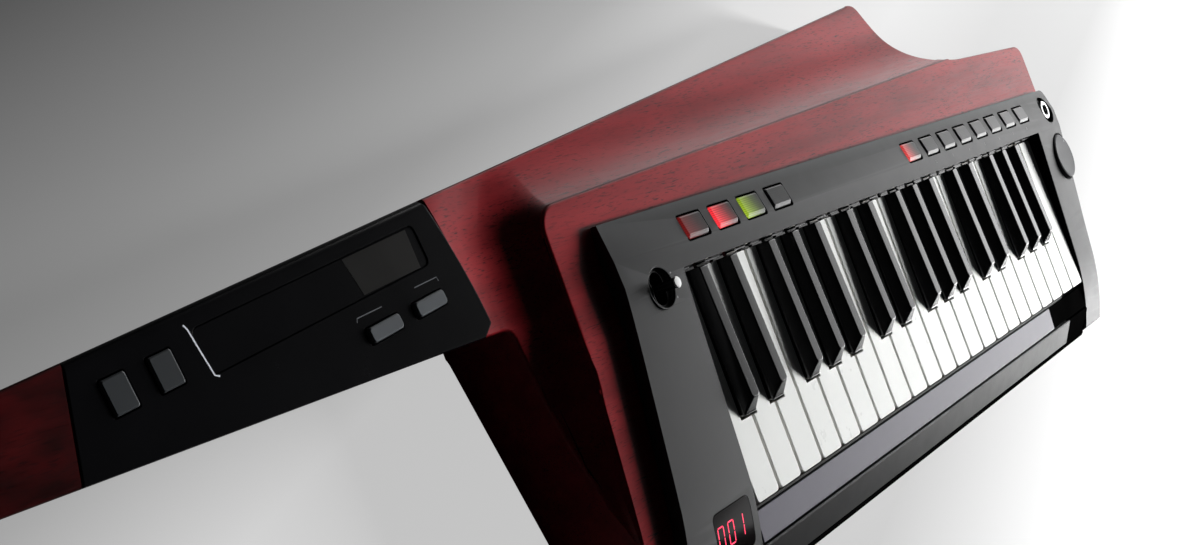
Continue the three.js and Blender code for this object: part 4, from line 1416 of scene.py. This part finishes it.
def endPinPlace():
    # on the body's right side, which flares towards the rear
    b = body
    front = b["front"] - b["cornerRadius"]
    run = panel["openingRear"] + front
    flare = b["rightRear"] - b["rightFront"]
    x = b["rightFront"] + flare * (pin["endRow"] + front) / run
    lean = math.atan(flare / run)
    return (x, pin["endRow"], pin["endHeight"]), Vector((math.cos(lean), -math.sin(lean), 0))


def strapPins():
    print("strap pins")
    places = {"neck": (pin["neckPlace"], down), "end": endPinPlace()}
    for name, ((x, y, z), axis) in places.items():
        head = turned(name + "StrapPin", pin["profile"], x, y, 48, z, axis)
        carve(head, crossCutter(x, y, z, axis), "DIFFERENCE", "MANIFOLD")
        dress(head, chrome, replaced=[name + "_strap_pin"], sharp=32)
        dress(turned(name + "PinWasher", pin["washer"], x, y, 40, z, axis), blackFelt)


def crossCutter(x, y, z, axis, low=8.4, high=12.0, reach=1.9, width=0.55):
    # a cross for the screwdriver in a screw's head
    side = axis.orthogonal().normalized()
    across = axis.cross(side)
    corners = [(reach, width), (-reach, width), (-reach, -width), (reach, -width)]
    first, second = [skin("arm", [[keyPoint(x, y, z) + (axis * height + a * u + b * v) * mm for u, v in corners]
                                  for height in (low, high)]) for a, b in ((side, across), (across, side))]
    carve(first, second, "UNION")
    return first


def backCover():
    print("back cover")
    c = cover
    plate = moved(roundedBox(*c["size"], c["radius"]), *c["middle"])
    piece = prism("backCover", plate, -body["thickness"], c["inner"])
    dx, dy, length, width, radius = c["door"]
    grow = c["slit"]
    door = moved(roundedBox(length, width, radius), dx, dy)
    slit = prism("doorSlit", moved(roundedBox(length + 2 * grow, width + 2 * grow, radius + grow), dx, dy), -past,
                 c["slitFloor"])
    carve(slit, prism("door", door, -past - 10, -40))
    nx, ny, notchLength, notchWidth = c["notch"]
    notch = []
    for share, z in c["notchRings"]:
        outline = roundedBox(notchLength * share, notchWidth * share, notchWidth * share / 2 - 0.1, 6)
        notch.append([keyPoint(px, py, z) for px, py in moved(outline, nx, ny)])
    cutters = [slit, skin("notch", notch)] + [turned("bore", c["bore"], *place, 32) for place in c["screws"]]
    carve(piece, joined("coverCutters", cutters))
    tidyFaces(piece, 0.1)
    dress(piece, darkPlastic, replaced=["back_cover"], rounding=(0.3, 2, 50), sharp=30)
    screws = []
    for place in c["screws"]:
        head = turned("screw", c["screw"], *place, 28)
        carve(head, crossCutter(*place, -46, down, 0.8, 3, 1.5, 0.4))
        smooth(head, 40)
        screws.append(head)
    dress(joined("coverScrews", screws), chrome)


strapPins()
backCover()

# the studio

studio = {
    "camera": (-0.5930, 0.0129, 0.3873),
    "lens": 43.46,
    "film": 36,
    "clip": (0.01, 60),
    "right": (0.5629, -0.3503, 0.7487),
    "up": (0.1987, 0.9366, 0.2888),
    "back": (-0.8023, -0.0138, 0.5968),
    "keyLight": {"azimuth": -9, "elevation": 24, "distance": 2.4, "size": (0.28, 0.6), "power": 118,
                 "target": (0.0, 0.0, 0.03), "glossy": False},
    "glintLight": {"azimuth": -20, "elevation": 8, "distance": 2.6, "size": (0.7, 0.35), "power": 6.5,
                   "target": (0.25, 0.03, 0.05), "glossy": True},
    "rearGlow": {"azimuth": 32, "elevation": 9, "distance": 2.8, "size": (2.0, 0.8), "power": 20,
                 "target": (0.2, 0.06, 0.05), "glossy": True},
    "walls": [(0.45, 0.5, 4.2), (0.95, 0.5, 2.7), (1.45, 0.5, 1.15), (1.95, 0.5, 0.3)],
    "wallPlace": (2.6, -0.5),
    "wallWidth": 1.9,
    "ambient": 0.008,
}


def camera():
    data = bpy.data.cameras.new("studioCamera")
    data.lens = studio["lens"]
    data.sensor_width = studio["film"]
    data.clip_start, data.clip_end = studio["clip"]
    item = bpy.data.objects.new("studioCamera", data)
    bpy.context.scene.collection.objects.link(item)
    turn = Matrix((studio["right"], studio["up"], studio["back"])).transposed().to_4x4()
    item.matrix_world = Matrix.Translation(studio["camera"]) @ turn
    bpy.context.scene.camera = item


def areaLight(name, place, target, size, power, glossy=True):
    data = bpy.data.lights.new(name, "AREA")
    data.shape = "RECTANGLE"
    data.size, data.size_y = size
    data.energy = power
    item = bpy.data.objects.new(name, data)
    bpy.context.scene.collection.objects.link(item)
    item.location = place
    item.rotation_euler = (Vector(place) - Vector(target)).to_track_quat("Z", "Y").to_euler()
    item.visible_glossy = glossy


def lights():
    # three lamps, and a wall of bands, each of its own radiance, that the gloss and the wood reflect
    for name in ("keyLight", "glintLight", "rearGlow"):
        light = studio[name]
        a, e = math.radians(light["azimuth"]), math.radians(light["elevation"])
        away = Vector((math.cos(e) * math.cos(a), math.cos(e) * math.sin(a), math.sin(e))) * light["distance"]
        target = light["target"]
        areaLight(name, Vector(target) + away, target, light["size"], light["power"], light["glossy"])
    x, y = studio["wallPlace"]
    width = studio["wallWidth"]
    for i, (height, tall, radiance) in enumerate(studio["walls"], 1):
        power = radiance * math.pi * width * tall
        areaLight(f"softWall{i}", (x, y, height), (0, y, height), (width, tall), power)


floorLook = {
    "size": 14,
    "under": 0.0006,
    "slant": (1.0, -2.75, 0),
    "span": (-0.8, 1.2),
    # painted shade: the tones darken the floor towards the far left, and the dip between 0.52 and 0.66 is a painted
    # soft shadow and reflection of the instrument below the rail
    "paintedShadeTones": [(0.0, 0.08), (0.12, 0.27), (0.2, 0.43), (0.28, 0.74), (0.405, 0.78), (0.52, 0.64), (0.66, 0.60),
              (0.9, 1.0)],
    "unseen": (0.35, 0.35, 0.35),
    "glowShare": 0.72,
    "roughness": 0.5,
}


def floor():
    # its tone changes along a slant: painted shade darkens it towards the far left, and a band below the rail holds a
    # painted soft shadow and reflection of the instrument; part of it glows for the camera so that it stays pale
    f = floorLook
    bpy.ops.object.select_all(action="DESELECT")
    bpy.ops.mesh.primitive_plane_add(size=f["size"], location=(0, 0, -f["under"]))
    item = bpy.context.object
    item.name = "studioFloor"
    m = Shading("paleFloor")
    parts = m.parts(m.scaled(f["slant"]))
    tone = m.ramp(m.span(m.reckon("ADD", parts["X"], parts["Y"]), *f["span"]), f["paintedShadeTones"])
    seen = m.add("LightPath").outputs["Is Camera Ray"]
    m.look({"Roughness": f["roughness"], "Base Color": m.mix(seen, m.multiply(tone, f["unseen"]), tone)})
    glow = m.add("Emission")
    mix = m.add("MixShader")
    share = m.reckon("MULTIPLY", seen, f["glowShare"])
    for output, socket in ((tone, glow.inputs["Color"]), (share, mix.inputs["Fac"]),
                           (m.shader.outputs["BSDF"], mix.inputs[1]), (glow.outputs["Emission"], mix.inputs[2]),
                           (mix.outputs["Shader"], m.nodes["Material Output"].inputs["Surface"])):
        m.links.new(output, socket)
    item.data.materials.append(m.material)


def world():
    scene = bpy.context.scene
    scene.world = scene.world or bpy.data.worlds.new("studioWorld")
    scene.world.use_nodes = True
    ground = scene.world.node_tree.nodes["Background"]
    ground.inputs["Color"].default_value = (0.92, 0.96, 1.0, 1)
    ground.inputs["Strength"].default_value = studio["ambient"]
    scene.view_settings.view_transform = "Standard"


print("studio")
camera()
floor()
world()
lights()

chassis = frame["nodes"]["key_chassis"]
chassis.data.materials.clear()
chassis.data.materials.append(darkPlastic)

print("done")
